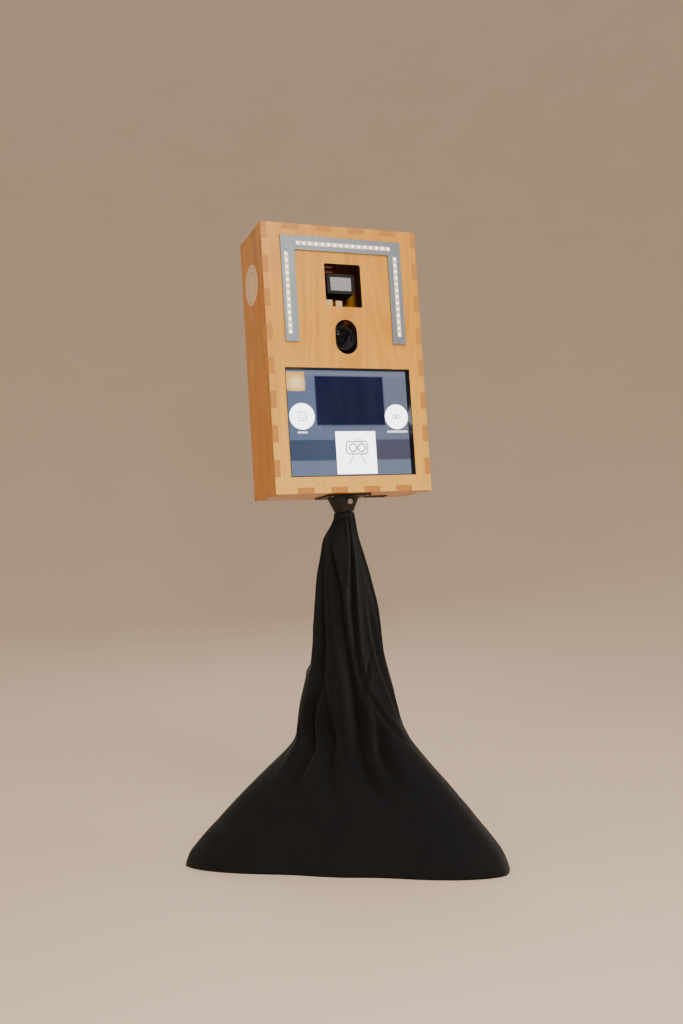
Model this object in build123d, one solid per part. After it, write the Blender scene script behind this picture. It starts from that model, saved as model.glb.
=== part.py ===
from build123d import *
from math import cos, exp, hypot, pi, radians, sin, tan
import os

# Photo booth on a telescopic tripod stand, in millimetres.
# Origin: on the floor, on the mast's axis.
# +Z up, the booth's front faces -Y, +X to the right seen from the front.

# ---- cabinet, finger-jointed plywood ----
BOX_W = 425.0
BOX_H = 685.0
BOX_D = 186.0
WOOD = 15.0
BOX_BASE = 892.0              # underside of the cabinet above the floor
UPRIGHT_FINGERS = 16          # fingers along each upright front edge, the lowest belongs to the front panel
EDGE_TAB_W = 44.7             # tabs of the top and bottom panels in the front face
EDGE_TABS = 4
SIDE_FINGERS = 4              # fingers along the side edges of the top and bottom panels, the rear one a tab

# ---- openings in the front panel, heights above the cabinet's underside ----
SCREEN_W = 337.4
SCREEN_H = 272.0
SCREEN_MID = 179.6
WINDOW_W = 99.0
WINDOW_H = 111.6
WINDOW_MID = 531.8
WINDOW_R = 5.0
LENS_HOLE_W = 60.0
LENS_HOLE_H = 89.0
LENS_HOLE_MID = 398.4

# ---- light frame ----
BAR_W = 36.0
BAR_T = 5.0
BAR_REACH = 164.5             # outer edge of the side bars from the middle
BAR_LOW = 382.0
BAR_HIGH = 653.0
TAPE_W = 11.0
TAPE_T = 0.4
CHIP = 5.0
CHIP_T = 1.4
CHIP_PITCH = 16.67
TAPE_ENDS_LEFT = (18.0, 24.0)   # bare bar below and above the left tape
TAPE_ENDS_TOP = (28.0, 12.0)
TAPE_ENDS_RIGHT = (20.0, 20.0)
TAPE_LEFT_OFF = 5.0           # of the left tape towards the edge, from its bar's middle
TAPE_OFF = 1.0                # of the other two

# ---- screws, their shanks are half as wide as their heads ----
SCREW_L = 9.0
SCREW_HEAD_R = 3.6
SCREW_HEAD_T = 1.6
SCREW_SLOT = 0.9
SMALL_HEAD_R = 2.6
SMALL_HEAD_T = 1.0
BAR_SCREW_UP = 12.0           # of a bar's lower screw above the bar's end
CORNER_SCREWS = ((-4.0, -14.0), (16.0, 5.0))   # in the left corner, from its middle

# ---- screen ----
LINER_T = 2.0
FLANGE_T = 3.0
GLASS_BACK = 22.0             # front of the touch glass behind the cabinet's front face
GLASS_T = 3.0
GLASS_MARGIN = 8.0            # of the glass past the screen opening, each side
LCD_T = 8.0
CHASSIS_WALL = 2.0
CHASSIS_BACK_T = 1.5
CHASSIS_D = 32.0
TAB_H = 30.0
TAB_T = 2.0
TAB_REACH = 14.0
TAB_SPREAD = 0.35             # of the tabs from the screen's middle, share of its height

# ---- camera ----
LENS_BACK = 18.0              # front of the lens behind the cabinet's front face
LENS_R = 31.0
LENS_CORE_R = 27.0
LENS_L = 70.0
RING_L = 24.0
CAMERA_W = 130.0
CAMERA_D = 48.0
CAMERA_DOWN = 48.0            # body below the lens axis
CAMERA_UP = 34.0              # shoulders above the lens axis
HUMP_H = 20.0
LENS_AXIS = 400.0             # above the cabinet's underside
SHELF_T = 12.0
RING_START = 26.0             # of the zoom ring behind the lens's front
RING_GROOVES = 36
GROOVE_R = 1.0
GROOVE_OUT = 0.4
GROOVE_END = 3.0
CUP_WALL = 3.0
CUP_DEEP = 5.0
SEAT_WALL = 6.0
SEAT_DEEP = 12.0
DOME_R = 70.0
DOME_DEEP = 4.0               # of the dome's top behind the lens's front
BODY_ROUND = 10.0
GRIP_W = 30.0
GRIP_FORWARD = 16.0
GRIP_BACK = 20.0
GRIP_ROUND = 7.0
HUMP_LOW = 30.0               # half widths of the viewfinder hump
HUMP_TOP = 20.0
HUMP_FRONT = 2.0
HUMP_REAR = 36.0
DISPLAY_HALF = 34.0
DISPLAY_DOWN = 36.0
DISPLAY_UP = 14.0
DISPLAY_T = 3.0
BUTTON_R = 5.0
BUTTON_IN = 15.0              # of the shutter button from the body's side
BUTTON_AHEAD = 4.0
BUTTON_WELL = 4.0
BUTTON_PROUD = 2.0
BUTTON_TRAVEL = 1.5
TRIPOD_SCREW_R = 3.15
TRIPOD_DEEP = 8.0
TRIPOD_BACK = 20.0
TRIPOD_HEAD_R = 11.0
TRIPOD_HEAD_T = 6.0
SHELF_AHEAD = 24.0
SHELF_SHORT = 4.0

# ---- flash ----
FLASH_X = 3.0
FLASH_BACK = 23.0             # front of the flash head behind the cabinet's front face
HEAD_W = 76.0
HEAD_H = 52.0
HEAD_D = 64.0
HEAD_MID = 543.0
FRESNEL_W = 59.5
FRESNEL_H = 36.0
FRESNEL_T = 3.0
TONGUE_W = 30.0
CHEEK_T = 8.0
CHEEK_R = 13.0
FLASH_BODY_W = 56.0
FLASH_BODY_D = 52.0
FLASH_ROUND = 6.0
TILT_BACK = 18.0              # of the tilt axle behind the head
SHOE_W = 18.0
SHOE_T = 4.0
SHOE_FRONT = 8.0
SHOE_REAR = 30.0
BLOCKS = ((-57.5, -26.0, 22.0), (-17.0, 0.0, 20.0))   # left, right and rise of the blocks behind the window
BLOCK_D = 16.0
BLOCK_DROP = 10.0

# ---- electronics ----
PC_SIZE = 128.0
PC_T = 46.0
PC_LOW = 130.0
PC_ROUND = 12.0
DRIVER_T = 31.0
DRIVER_FRONT = -20.0
DRIVER_REAR = 26.0
DRIVER_LOW = 400.0
DRIVER_HIGH = 562.0
INLET_X = 110.0
INLET_Y = 40.0
INLET_W = 47.0
INLET_D = 27.0
INLET_H = 26.0
INLET_RIM = 4.0
INLET_RIM_T = 2.5
CAVITY_W = 24.4
CAVITY_D = 16.6
CAVITY_H = 19.0
CAVITY_X = INLET_X - 8.5
PLUG_PINS = ((-7.0, -2.0), (0.0, 2.0), (7.0, -2.0))
PLUG_PIN_W = 2.0
PLUG_PIN_D = 4.0
PLUG_PIN_IN = 6.0
ROCKER_W = 11.0
ROCKER_D = 19.0
ROCKER_X = INLET_X + 15.5
ROCKER_SIDE = 0.5             # room beside the rocker
ROCKER_END = 0.8
ROCKER_DEEP = 14.0
ROCKER_AXLE_R = 1.5
ROCKER_AXLE_UP = 4.0
ROCKER_DOWN = 4.5
ROCKER_UP = 3.5
ROCKER_HOLLOW_R = 40.0
ROCKER_HOLLOW = 1.0
ROCKER_TILT = 12.0

# ---- badge ----
BADGE_R = 52.0
BADGE_T = 0.8
BADGE_Y = 10.0
BADGE_MID = 552.0

# ---- rear door ----
DOOR_GAP = 0.8
HINGE_L = 60.0
LEAF_T = 1.5
LEAF_W = 13.0
KNUCKLE_R = 3.5
PIN_R = 1.75
HINGE_OFF = 190.0             # hinges above and below the cabinet's middle
BARREL_R = 9.5
BARREL_RIM_R = 12.0
PLUG_R = 6.5
CAM_L = 22.0
CAM_HALF = 9.5                # half of the cam's width
VENTS = 7
VENT_W = 5.0
VENT_L = 90.0
VENT_PITCH = 14.0
VENT_LEVEL = 90.0             # of the vents from the cabinet's top and underside
LEAF_SCREW = 7.8              # of a leaf's screws from the pin
LEAF_SPLIT = 0.5
PIN_PROUD = 0.8
LOCK_IN = 26.0                # of the lock from the side panel
LOCK_DOWN = 70.0              # of the lock below the cabinet's middle
CAM_ROOM = 6.0                # from the cam's front to the door's back
CAM_T = 3.0
CAM_ROUND = 4.0
BARREL_RIM_T = 2.0
PLUG_PROUD = 2.5
KEY_SLOT_W = 1.6
KEY_SLOT_H = 8.0
KEY_SLOT_DEEP = 8.0
CATCH_W = 14.0
CATCH_T = 2.0
CATCH_D = 20.0

# ---- stand ----
TUBE_R = 17.5                 # sliding inner tube, the usual 35 mm speaker pole
TUBE_T = 1.5
SLEEVE_R = 20.0               # outer tube
SLEEVE_T = 1.5
SLEEVE_LOW = 75.0
SLEEVE_HIGH = 788.0
TUBE_LOW = 200.0
SOCKET_DROP = 42.0            # of the pole socket below the cabinet
SOCKET_RISE = 45.0            # of the pole socket inside the cabinet
SOCKET_PLATE = 120.0
SOCKET_PLATE_T = 4.0
SOCKET_CORNER = 12.0          # rounding of the plate, and of its screws from its edges
SOCKET_WALL = 5.0
SOCKET_FLOOR = 4.0
SOCKET_TOP_R = 42.0
SOCKET_LOW_R = 25.0
SOCKET_SCREW_DOWN = 19.0      # of the socket's clamp screw below the cabinet
SOCKET_HEAD_R = 7.0
SOCKET_HEAD_L = 9.0
SOCKET_HEAD_SINK = 2.5
KNURLS = 12
KNURL_R = 0.9
KNURL_OUT = 0.3
SLEEVE_FLOOR = 4.0
CLAMP_R = 25.0
CLAMP_L = 59.0
CLAMP_CAP = 6.0               # of the clamp above the outer tube
CLAMP_BUSH_L = 50.0
CLAMP_BOSS_R = 9.0
CLAMP_BOSS_L = 8.0
CLAMP_KNOB_L = 17.0
CLAMP_KNOB_R = 14.0
BOSS_IN = 18.0                # where a knob's boss starts, inside the ring that carries it
LOBES = 6
LOBE_SHARE = 0.3              # radius of the hollows between a knob's lobes, share of the knob's
LOBE_OUT = 2.5
CLAMP_KNOB_Z = 768.0
KNOB_AZ = -111.6              # direction of the clamp knobs, degrees from -Y towards +X

# ---- tripod ----
LEG_AZ = (-99.0, 21.0, 141.0)
LEG_R = 12.5
LEG_T = 1.5
LEG_L = 505.0
LEG_SPREAD = 48.0             # from the vertical
PIVOT_OUT = 38.0              # pivots from the mast's axis
HUB_PIVOT_Z = 362.0
BRACE_L = 190.0
BRACE_W = 20.0
BRACE_T = 3.0
BOLT_R = 4.0
FOOT_R = 16.0
FOOT_PAST = 22.0
FOOT_ROUND = 3.0
FOOT_CUP = 32.0
LEG_SOLID = 40.0              # solid upper end of a leg
HUB_WALL = 4.7
HUB_DOWN = 16.0
HUB_UP = 70.0
HUB_KNOB_UP = 52.0
HUB_BOSS_R = 10.0
HUB_BOSS_L = 10.0
HUB_KNOB_L = 36.0
HUB_KNOB_R = 19.0
EAR_T = 5.0
EAR_R = 12.0
LUG_IN = 12.0                 # where an ear or a lug starts, inside its ring
LUG_R = 10.0
COLLAR_WALL = 6.0
COLLAR_HALF = 22.0
PIN_HEAD_T = 2.0
PIN_HEAD_RIM = 2.5

# ---- cover ----
COVER_T = 3.0
COVER_TOP = 848.0
NECK_R = 23.5
CLOTH_CLEAR = 10.0            # of the skirt over a leg
CLOTH_BULGE = 16.0            # more of it halfway down the skirt
SKIRT_DROP = 88.0             # of the skirt's top below the hub's pivots
HEM_OUT = 16.0                # of the hem beyond a foot
TIE_T = 4.0
TIE_LOW = 14.0                # lower and upper edge of the tie below the cover's top
TIE_HIGH = 5.0
COVER_POINTS = 48
RIDGE_WIDTH = 23.5            # angle over which the cover falls away from a leg, degrees
SKIRT = ((0.0, 0.60), (0.09, 0.59), (0.16, 0.585), (0.38, 0.59), (0.62, 0.60), (0.84, 0.62), (1.0, 0.69))
BODY = ((0, 108, 26, 16), (85, 96, 8, 17), (160, 84, 3, 14), (260, 76, 0, 12), (325, 65, 0, 13))
NECK = ((-3, 49, 13), (22, 45, 14), (36, 37, 8), (48, 29, 0))

# ---- fits ----
RUN = 0.05                    # radial clearance of a running fit
GAP = 0.3                     # between neighbours that move apart
JOIN = 1.0                    # by which one block of a solid enters another

FRONT = -BOX_D / 2
REAR = BOX_D / 2
FRONT_BACK = FRONT + WOOD
DOOR_IN = REAR - WOOD
INNER_X = BOX_W / 2 - WOOD
BOX_TOP = BOX_BASE + BOX_H
LENS_Z = BOX_BASE + LENS_AXIS
LEVELS = ((BOX_BASE, BOX_BASE + WOOD), (BOX_TOP - WOOD, BOX_TOP))
SCREEN_Z = BOX_BASE + SCREEN_MID
GLASS_Y = FRONT + GLASS_BACK
GLASS_W = SCREEN_W + 2 * GLASS_MARGIN
GLASS_H = SCREEN_H + 2 * GLASS_MARGIN
LENS_Y = FRONT + LENS_BACK
BODY_Y = LENS_Y + LENS_L
RING_Y = LENS_Y + RING_START
BUTTON_X = -CAMERA_W / 2 + BUTTON_IN
HEAD_Y = FRONT + FLASH_BACK
HEAD_Z = BOX_BASE + HEAD_MID
TILT_Y = HEAD_Y + HEAD_D + TILT_BACK
TILT_Z = HEAD_Z - HEAD_H / 4
INLET_LOW = BOX_BASE - INLET_RIM_T
HINGE_X = -INNER_X + DOOR_GAP / 2
HINGE_Y = REAR + KNUCKLE_R
LOCK_X = INNER_X - LOCK_IN
LOCK_Z = BOX_BASE + BOX_H / 2 - LOCK_DOWN
CAM_Y = DOOR_IN - CAM_ROOM
CLAMP_SCREW_Z = BOX_BASE - SOCKET_SCREW_DOWN
HUB_R = SLEEVE_R + GAP + HUB_WALL
HUB_KNOB_Z = HUB_PIVOT_Z + HUB_KNOB_UP
EAR_IN = LEG_R + GAP
COLLAR_PIVOT_Z = HUB_PIVOT_Z - 2 * BRACE_L * cos(radians(LEG_SPREAD))
FOOT_REACH = PIVOT_OUT + (LEG_L + FOOT_PAST) * sin(radians(LEG_SPREAD)) + FOOT_R * cos(radians(LEG_SPREAD))

os.makedirs("parts", exist_ok=True)


# ---------------------------------------------------------------- helpers
def save(name, *shapes):
    """Write the solids of the shapes as one node."""
    solids = []
    for shape in shapes:
        solids += shape.solids()
    export_step(Compound(solids) if len(solids) > 1 else solids[0], f"parts/{name}.step")


def block(x0, x1, y0, y1, z0, z1):
    """A box between two corners."""
    return Pos((x0 + x1) / 2, (y0 + y1) / 2, (z0 + z1) / 2) * Box(x1 - x0, y1 - y0, z1 - z0)


def upright(radius, z0, z1, x=0.0, y=0.0):
    """A cylinder along Z."""
    return Pos(x, y, (z0 + z1) / 2) * Cylinder(radius, z1 - z0)


def along_y(radius, y0, y1, x, z):
    """A cylinder along Y."""
    return Pos(x, (y0 + y1) / 2, z) * Rot(90, 0, 0) * Cylinder(radius, y1 - y0)


def along_x(radius, x0, x1, y, z):
    """A cylinder along X."""
    return Pos((x0 + x1) / 2, y, z) * Rot(0, 90, 0) * Cylinder(radius, x1 - x0)


def facing(azimuth):
    """Turns +X, the outward direction, to an azimuth counted from -Y towards +X."""
    return Rot(0, 0, azimuth - 90)


def screw(x, y, z, radius=SCREW_HEAD_R, head=SCREW_HEAD_T, out=(0, -1, 0)):
    """A pan-head screw whose head sits on a surface at x, y, z and whose shank goes in against out."""
    plane = Plane(origin=(x, y, z), z_dir=out)
    cap = plane * Pos(0, 0, head / 2) * Cylinder(radius, head)
    slot = plane * Pos(0, 0, head) * Box(radius * 1.3, SCREW_SLOT, head)
    cross = plane * Pos(0, 0, head) * Box(SCREW_SLOT, radius * 1.3, head)
    shank = plane * Pos(0, 0, -SCREW_L / 2) * Cylinder(radius / 2, SCREW_L)
    return (cap - slot - cross) + shank


def screw_hole(x, y, z, radius=SCREW_HEAD_R, length=SCREW_L, out=(0, -1, 0)):
    """The hole that the shank of a screw fills."""
    plane = Plane(origin=(x, y, z), z_dir=out)
    return plane * Pos(0, 0, -length / 2) * Cylinder(radius / 2, length)


def prism_xz(points, y0, y1):
    """An outline in X and Z carried from y0 back to y1."""
    return extrude(Plane.XZ.offset(-y1) * Polygon(*points, align=None), amount=y1 - y0)


# ---------------------------------------------------------------- cabinet panels
def edge_tabs(z0, z1):
    """Tabs of the top or bottom panel that show in the front face."""
    first = -(EDGE_TABS - 1) * EDGE_TAB_W
    tabs = []
    for i in range(EDGE_TABS):
        x = first + 2 * i * EDGE_TAB_W
        tabs.append(block(x - EDGE_TAB_W / 2, x + EDGE_TAB_W / 2, FRONT, FRONT_BACK, z0, z1))
    return tabs


def side_tabs(side, z0, z1):
    """Tabs of the top or bottom panel that pass through a side panel: every other finger, from the rear."""
    pitch = BOX_D / SIDE_FINGERS
    x0, x1 = sorted((side * INNER_X, side * BOX_W / 2))
    tabs = []
    for i in range(0, SIDE_FINGERS, 2):
        tabs.append(block(x0, x1, REAR - (i + 1) * pitch, REAR - i * pitch, z0, z1))
    return tabs


def upright_fingers(side, odd):
    """Fingers of one upright front edge: odd ones belong to the side panel, even ones to the front."""
    step = BOX_H / UPRIGHT_FINGERS
    x0, x1 = sorted((side * INNER_X, side * BOX_W / 2))
    cells = []
    for i in range(odd, UPRIGHT_FINGERS, 2):
        cells.append(block(x0, x1, FRONT, FRONT_BACK, BOX_BASE + i * step, BOX_BASE + (i + 1) * step))
    return cells


def bar_screws():
    """Places of the screws that hold the light bars: two at the left corner, one at each other end."""
    left = -BAR_REACH + BAR_W / 2
    right = BAR_REACH - BAR_W / 2
    top = BOX_BASE + BAR_HIGH - BAR_W / 2
    low = BOX_BASE + BAR_LOW + BAR_SCREW_UP
    corner = [(left + dx, top + dz) for dx, dz in CORNER_SCREWS]
    return (*corner, (right, top), (left, low), (right, low))


def tab_places():
    """Middle of each of the screen chassis's four fixing tabs: side, x and z."""
    x = SCREEN_W / 2 + GLASS_MARGIN + CHASSIS_WALL + TAB_REACH / 2
    places = []
    for side in (-1, 1):
        for lift in (-1, 1):
            places.append((side, side * x, SCREEN_Z + lift * SCREEN_H * TAB_SPREAD))
    return places


def front_panel():
    panel = block(-BOX_W / 2, BOX_W / 2, FRONT, FRONT_BACK, BOX_BASE, BOX_TOP)
    for side in (-1, 1):
        panel -= upright_fingers(side, 1)
    for z0, z1 in LEVELS:
        panel -= edge_tabs(z0, z1)
    screen = Plane.XZ.offset(-FRONT_BACK) * Pos(0, SCREEN_Z) * Rectangle(
        SCREEN_W + 2 * LINER_T, SCREEN_H + 2 * LINER_T)
    window = Plane.XZ.offset(-FRONT_BACK) * Pos(0, BOX_BASE + WINDOW_MID) * RectangleRounded(
        WINDOW_W, WINDOW_H, WINDOW_R)
    lens = Plane.XZ.offset(-FRONT_BACK) * Pos(0, BOX_BASE + LENS_HOLE_MID) * SlotOverall(
        LENS_HOLE_H, LENS_HOLE_W, rotation=90)
    panel -= extrude(screen, amount=WOOD)
    panel -= extrude(window, amount=WOOD)
    panel -= extrude(lens, amount=WOOD)
    for x, z in bar_screws():
        panel -= screw_hole(x, FRONT, z, length=SCREW_L - BAR_T)
    for _, x, z in tab_places():
        panel -= screw_hole(x, FRONT_BACK, z, length=SCREW_L - TAB_T, out=(0, 1, 0))
    return panel


def side_panel(side):
    x0, x1 = sorted((side * INNER_X, side * BOX_W / 2))
    panel = block(x0, x1, FRONT, REAR, BOX_BASE, BOX_TOP)
    panel -= upright_fingers(side, 0)
    for z0, z1 in LEVELS:
        panel -= side_tabs(side, z0, z1)
    if side < 0:
        for z in hinge_heights():
            for lift in (-1, 1):
                panel -= screw_hole(-BOX_W / 2 + WOOD / 2, REAR, z + lift * HINGE_L / 4,
                                    SMALL_HEAD_R, SCREW_L - LEAF_T, (0, 1, 0))
    return panel


def level_panel(z0, z1):
    """The top or the bottom panel with all its tabs."""
    panel = block(-INNER_X, INNER_X, FRONT_BACK, REAR, z0, z1)
    for tab in edge_tabs(z0, z1) + side_tabs(-1, z0, z1) + side_tabs(1, z0, z1):
        panel += tab
    return panel


def socket_screw_places():
    reach = SOCKET_PLATE / 2 - SOCKET_CORNER
    return [(x, y) for x in (-reach, reach) for y in (-reach, reach)]


def bottom_panel():
    panel = level_panel(BOX_BASE, BOX_BASE + WOOD)
    panel -= upright(TUBE_R + SOCKET_WALL, BOX_BASE, BOX_BASE + WOOD)
    for x, y in socket_screw_places():
        panel -= screw_hole(x, y, BOX_BASE, length=SCREW_L - SOCKET_PLATE_T, out=(0, 0, -1))
    panel -= block(INLET_X - INLET_W / 2, INLET_X + INLET_W / 2, INLET_Y - INLET_D / 2,
                   INLET_Y + INLET_D / 2, BOX_BASE, BOX_BASE + WOOD)
    return panel


# ---------------------------------------------------------------- light frame
def light_bars():
    """Left, top and right bars, mitred at the two upper corners."""
    low = BOX_BASE + BAR_LOW
    high = BOX_BASE + BAR_HIGH
    inner = BAR_REACH - BAR_W
    left = [(-BAR_REACH, low), (-inner, low), (-inner, high - BAR_W), (-BAR_REACH, high)]
    right = [(BAR_REACH, low), (BAR_REACH, high), (inner, high - BAR_W), (inner, low)]
    top = [(-BAR_REACH, high), (-inner, high - BAR_W), (inner, high - BAR_W), (BAR_REACH, high)]
    bars = []
    for outline in (left, top, right):
        bar = prism_xz(outline, FRONT - BAR_T, FRONT)
        for x, z in bar_screws():
            bar -= along_y(SCREW_HEAD_R / 2, FRONT - BAR_T, FRONT, x, z)
        bars.append(bar)
    return bars


def light_runs():
    """Start and end of each tape's middle line in X and Z: left, top, right."""
    left = -BAR_REACH + BAR_W / 2 - TAPE_LEFT_OFF
    right = BAR_REACH - BAR_W / 2 + TAPE_OFF
    top = BOX_BASE + BAR_HIGH - BAR_W / 2 - TAPE_OFF
    low = BOX_BASE + BAR_LOW
    return (((left, low + TAPE_ENDS_LEFT[0]), (left, top - TAPE_ENDS_LEFT[1])),
            ((left + TAPE_ENDS_TOP[0], top), (right - TAPE_ENDS_TOP[1], top)),
            ((right, low + TAPE_ENDS_RIGHT[0]), (right, top - TAPE_ENDS_RIGHT[1])))


def light_tape(run):
    (x0, z0), (x1, z1) = run
    half = TAPE_W / 2
    wide = half if x0 == x1 else 0
    tall = half if z0 == z1 else 0
    face = FRONT - BAR_T
    return block(x0 - wide, x1 + wide, face - TAPE_T, face, z0 - tall, z1 + tall)


def light_chips(run):
    """White square light-emitting diodes at an even pitch, centred on the tape."""
    (x0, z0), (x1, z1) = run
    length = hypot(x1 - x0, z1 - z0)
    count = int((length - CHIP) / CHIP_PITCH) + 1
    margin = (length - (count - 1) * CHIP_PITCH) / 2
    face = FRONT - BAR_T - TAPE_T
    chips = []
    for i in range(count):
        share = (margin + i * CHIP_PITCH) / length
        x = x0 + (x1 - x0) * share
        z = z0 + (z1 - z0) * share
        chips.append(block(x - CHIP / 2, x + CHIP / 2, face - CHIP_T, face, z - CHIP / 2, z + CHIP / 2))
    return chips


# ---------------------------------------------------------------- screen
def screen_block(width, height, y0, y1):
    """A block centred on the screen opening."""
    return block(-width / 2, width / 2, y0, y1, SCREEN_Z - height / 2, SCREEN_Z + height / 2)


def screen_bezel():
    """Black liner of the screen opening, with a flange behind the front panel."""
    liner = screen_block(SCREEN_W + 2 * LINER_T, SCREEN_H + 2 * LINER_T, FRONT, GLASS_Y)
    liner += screen_block(GLASS_W, GLASS_H, FRONT_BACK, FRONT_BACK + FLANGE_T)
    return liner - screen_block(SCREEN_W, SCREEN_H, FRONT, GLASS_Y)


def monitor_chassis():
    """Steel tray round the glass and the panel, with four fixing tabs against the front panel's back."""
    start = GLASS_Y
    wide = GLASS_W + 2 * CHASSIS_WALL
    high = GLASS_H + 2 * CHASSIS_WALL
    tray = screen_block(wide, high, start, start + CHASSIS_D)
    tray -= screen_block(GLASS_W, GLASS_H, start, start + CHASSIS_D - CHASSIS_BACK_T)
    for side, x, z in tab_places():
        x0, x1 = sorted((side * (wide / 2 - CHASSIS_WALL), side * (wide / 2 + TAB_REACH)))
        x2, x3 = sorted((side * (wide / 2 - CHASSIS_WALL), side * wide / 2))
        tray += block(x0, x1, FRONT_BACK, FRONT_BACK + TAB_T, z - TAB_H / 2, z + TAB_H / 2)
        tray += block(x2, x3, FRONT_BACK, start + JOIN, z - TAB_H / 2, z + TAB_H / 2)
    for side, x, z in tab_places():
        tray -= along_y(SCREW_HEAD_R / 2, FRONT_BACK, FRONT_BACK + TAB_T, x, z)
    return tray


# ---------------------------------------------------------------- camera
def camera_lens():
    """Barrel with a waist for the zoom ring and a cup for the front glass."""
    barrel = along_y(LENS_R, LENS_Y, BODY_Y, 0, LENS_Z)
    waist = along_y(LENS_R, RING_Y, RING_Y + RING_L, 0, LENS_Z)
    waist -= along_y(LENS_CORE_R, RING_Y, RING_Y + RING_L, 0, LENS_Z)
    cup = along_y(LENS_R - CUP_WALL, LENS_Y, LENS_Y + CUP_DEEP, 0, LENS_Z)
    seat = along_y(LENS_R - SEAT_WALL, LENS_Y, LENS_Y + SEAT_DEEP, 0, LENS_Z)
    return barrel - waist - cup - seat


def zoom_ring():
    """Ribbed rubber ring that turns round the barrel."""
    y0 = RING_Y + GAP
    y1 = RING_Y + RING_L - GAP
    ring = along_y(LENS_R, y0, y1, 0, LENS_Z)
    for i in range(RING_GROOVES):
        turn = 2 * pi * i / RING_GROOVES
        x = (LENS_R + GROOVE_OUT) * cos(turn)
        z = LENS_Z + (LENS_R + GROOVE_OUT) * sin(turn)
        ring -= along_y(GROOVE_R, y0 + GROOVE_END, y1 - GROOVE_END, x, z)
    return ring - along_y(LENS_CORE_R + RUN, y0, y1, 0, LENS_Z)


def lens_glass():
    """Front element: a disc with a domed face."""
    disc = along_y(LENS_R - SEAT_WALL, LENS_Y + DOME_DEEP - JOIN, LENS_Y + SEAT_DEEP, 0, LENS_Z)
    dome = Pos(0, LENS_Y + DOME_DEEP + DOME_R, LENS_Z) * Sphere(DOME_R)
    return disc & dome


def camera_body():
    """Body with a grip on one side, a viewfinder hump with the flash shoe and a screen at the back."""
    half = CAMERA_W / 2
    body = block(-half, half, BODY_Y, BODY_Y + CAMERA_D, LENS_Z - CAMERA_DOWN, LENS_Z + CAMERA_UP)
    body = fillet(body.edges().filter_by(Axis.Z), BODY_ROUND)
    grip = block(-half, -half + GRIP_W, BODY_Y - GRIP_FORWARD, BODY_Y + GRIP_BACK,
                 LENS_Z - CAMERA_DOWN, LENS_Z + CAMERA_UP)
    body += fillet(grip.edges().filter_by(Axis.Z), GRIP_ROUND)
    z = LENS_Z + CAMERA_UP
    hump = [(-HUMP_LOW, z), (HUMP_LOW, z), (HUMP_TOP, z + HUMP_H), (-HUMP_TOP, z + HUMP_H)]
    body += prism_xz([(x + FLASH_X, h) for x, h in hump], BODY_Y + HUMP_FRONT, BODY_Y + HUMP_REAR)
    body += block(-DISPLAY_HALF, DISPLAY_HALF, BODY_Y + CAMERA_D, BODY_Y + CAMERA_D + DISPLAY_T,
                  LENS_Z - DISPLAY_DOWN, LENS_Z + DISPLAY_UP)
    body -= upright(BUTTON_R + GAP, z - BUTTON_WELL, z, BUTTON_X, BODY_Y - BUTTON_AHEAD)
    foot_z = LENS_Z - CAMERA_DOWN
    body -= upright(TRIPOD_SCREW_R, foot_z, foot_z + TRIPOD_DEEP, 0, BODY_Y + TRIPOD_BACK)
    return body


def shutter_button():
    z = LENS_Z + CAMERA_UP
    low = z - BUTTON_WELL + BUTTON_TRAVEL + GAP
    return upright(BUTTON_R, low, z + BUTTON_PROUD, BUTTON_X, BODY_Y - BUTTON_AHEAD)


def camera_screw():
    """Knurled quarter-inch screw from under the shelf into the camera."""
    under = LENS_Z - CAMERA_DOWN - SHELF_T
    y = BODY_Y + TRIPOD_BACK
    head = upright(TRIPOD_HEAD_R, under - TRIPOD_HEAD_T, under, 0, y)
    return head + upright(TRIPOD_SCREW_R, under, under + SHELF_T + TRIPOD_DEEP - JOIN, 0, y)


def camera_shelf():
    """Plywood shelf between the side panels."""
    top = LENS_Z - CAMERA_DOWN
    shelf = block(-INNER_X, INNER_X, BODY_Y - SHELF_AHEAD, DOOR_IN - SHELF_SHORT, top - SHELF_T, top)
    return shelf - upright(TRIPOD_SCREW_R, top - SHELF_T, top, 0, BODY_Y + TRIPOD_BACK)


# ---------------------------------------------------------------- flash
def flash_head():
    """Head with a tongue to the tilt axle and a pocket for its window."""
    half = HEAD_W / 2
    head = block(FLASH_X - half, FLASH_X + half, HEAD_Y, HEAD_Y + HEAD_D,
                 HEAD_Z - HEAD_H / 2, HEAD_Z + HEAD_H / 2)
    head = fillet(head.edges().filter_by(Axis.Y), FLASH_ROUND)
    tongue = TONGUE_W / 2
    head += block(FLASH_X - tongue, FLASH_X + tongue, HEAD_Y + HEAD_D - JOIN, TILT_Y,
                  TILT_Z - CHEEK_R, TILT_Z + CHEEK_R)
    head += along_x(CHEEK_R, FLASH_X - tongue, FLASH_X + tongue, TILT_Y, TILT_Z)
    head -= along_x(BOLT_R + RUN, FLASH_X - tongue, FLASH_X + tongue, TILT_Y, TILT_Z)
    return head - block(FLASH_X - FRESNEL_W / 2, FLASH_X + FRESNEL_W / 2, HEAD_Y, HEAD_Y + FRESNEL_T,
                        HEAD_Z - FRESNEL_H / 2, HEAD_Z + FRESNEL_H / 2)


def flash_window():
    return block(FLASH_X - FRESNEL_W / 2, FLASH_X + FRESNEL_W / 2, HEAD_Y, HEAD_Y + FRESNEL_T,
                 HEAD_Z - FRESNEL_H / 2, HEAD_Z + FRESNEL_H / 2)


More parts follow.
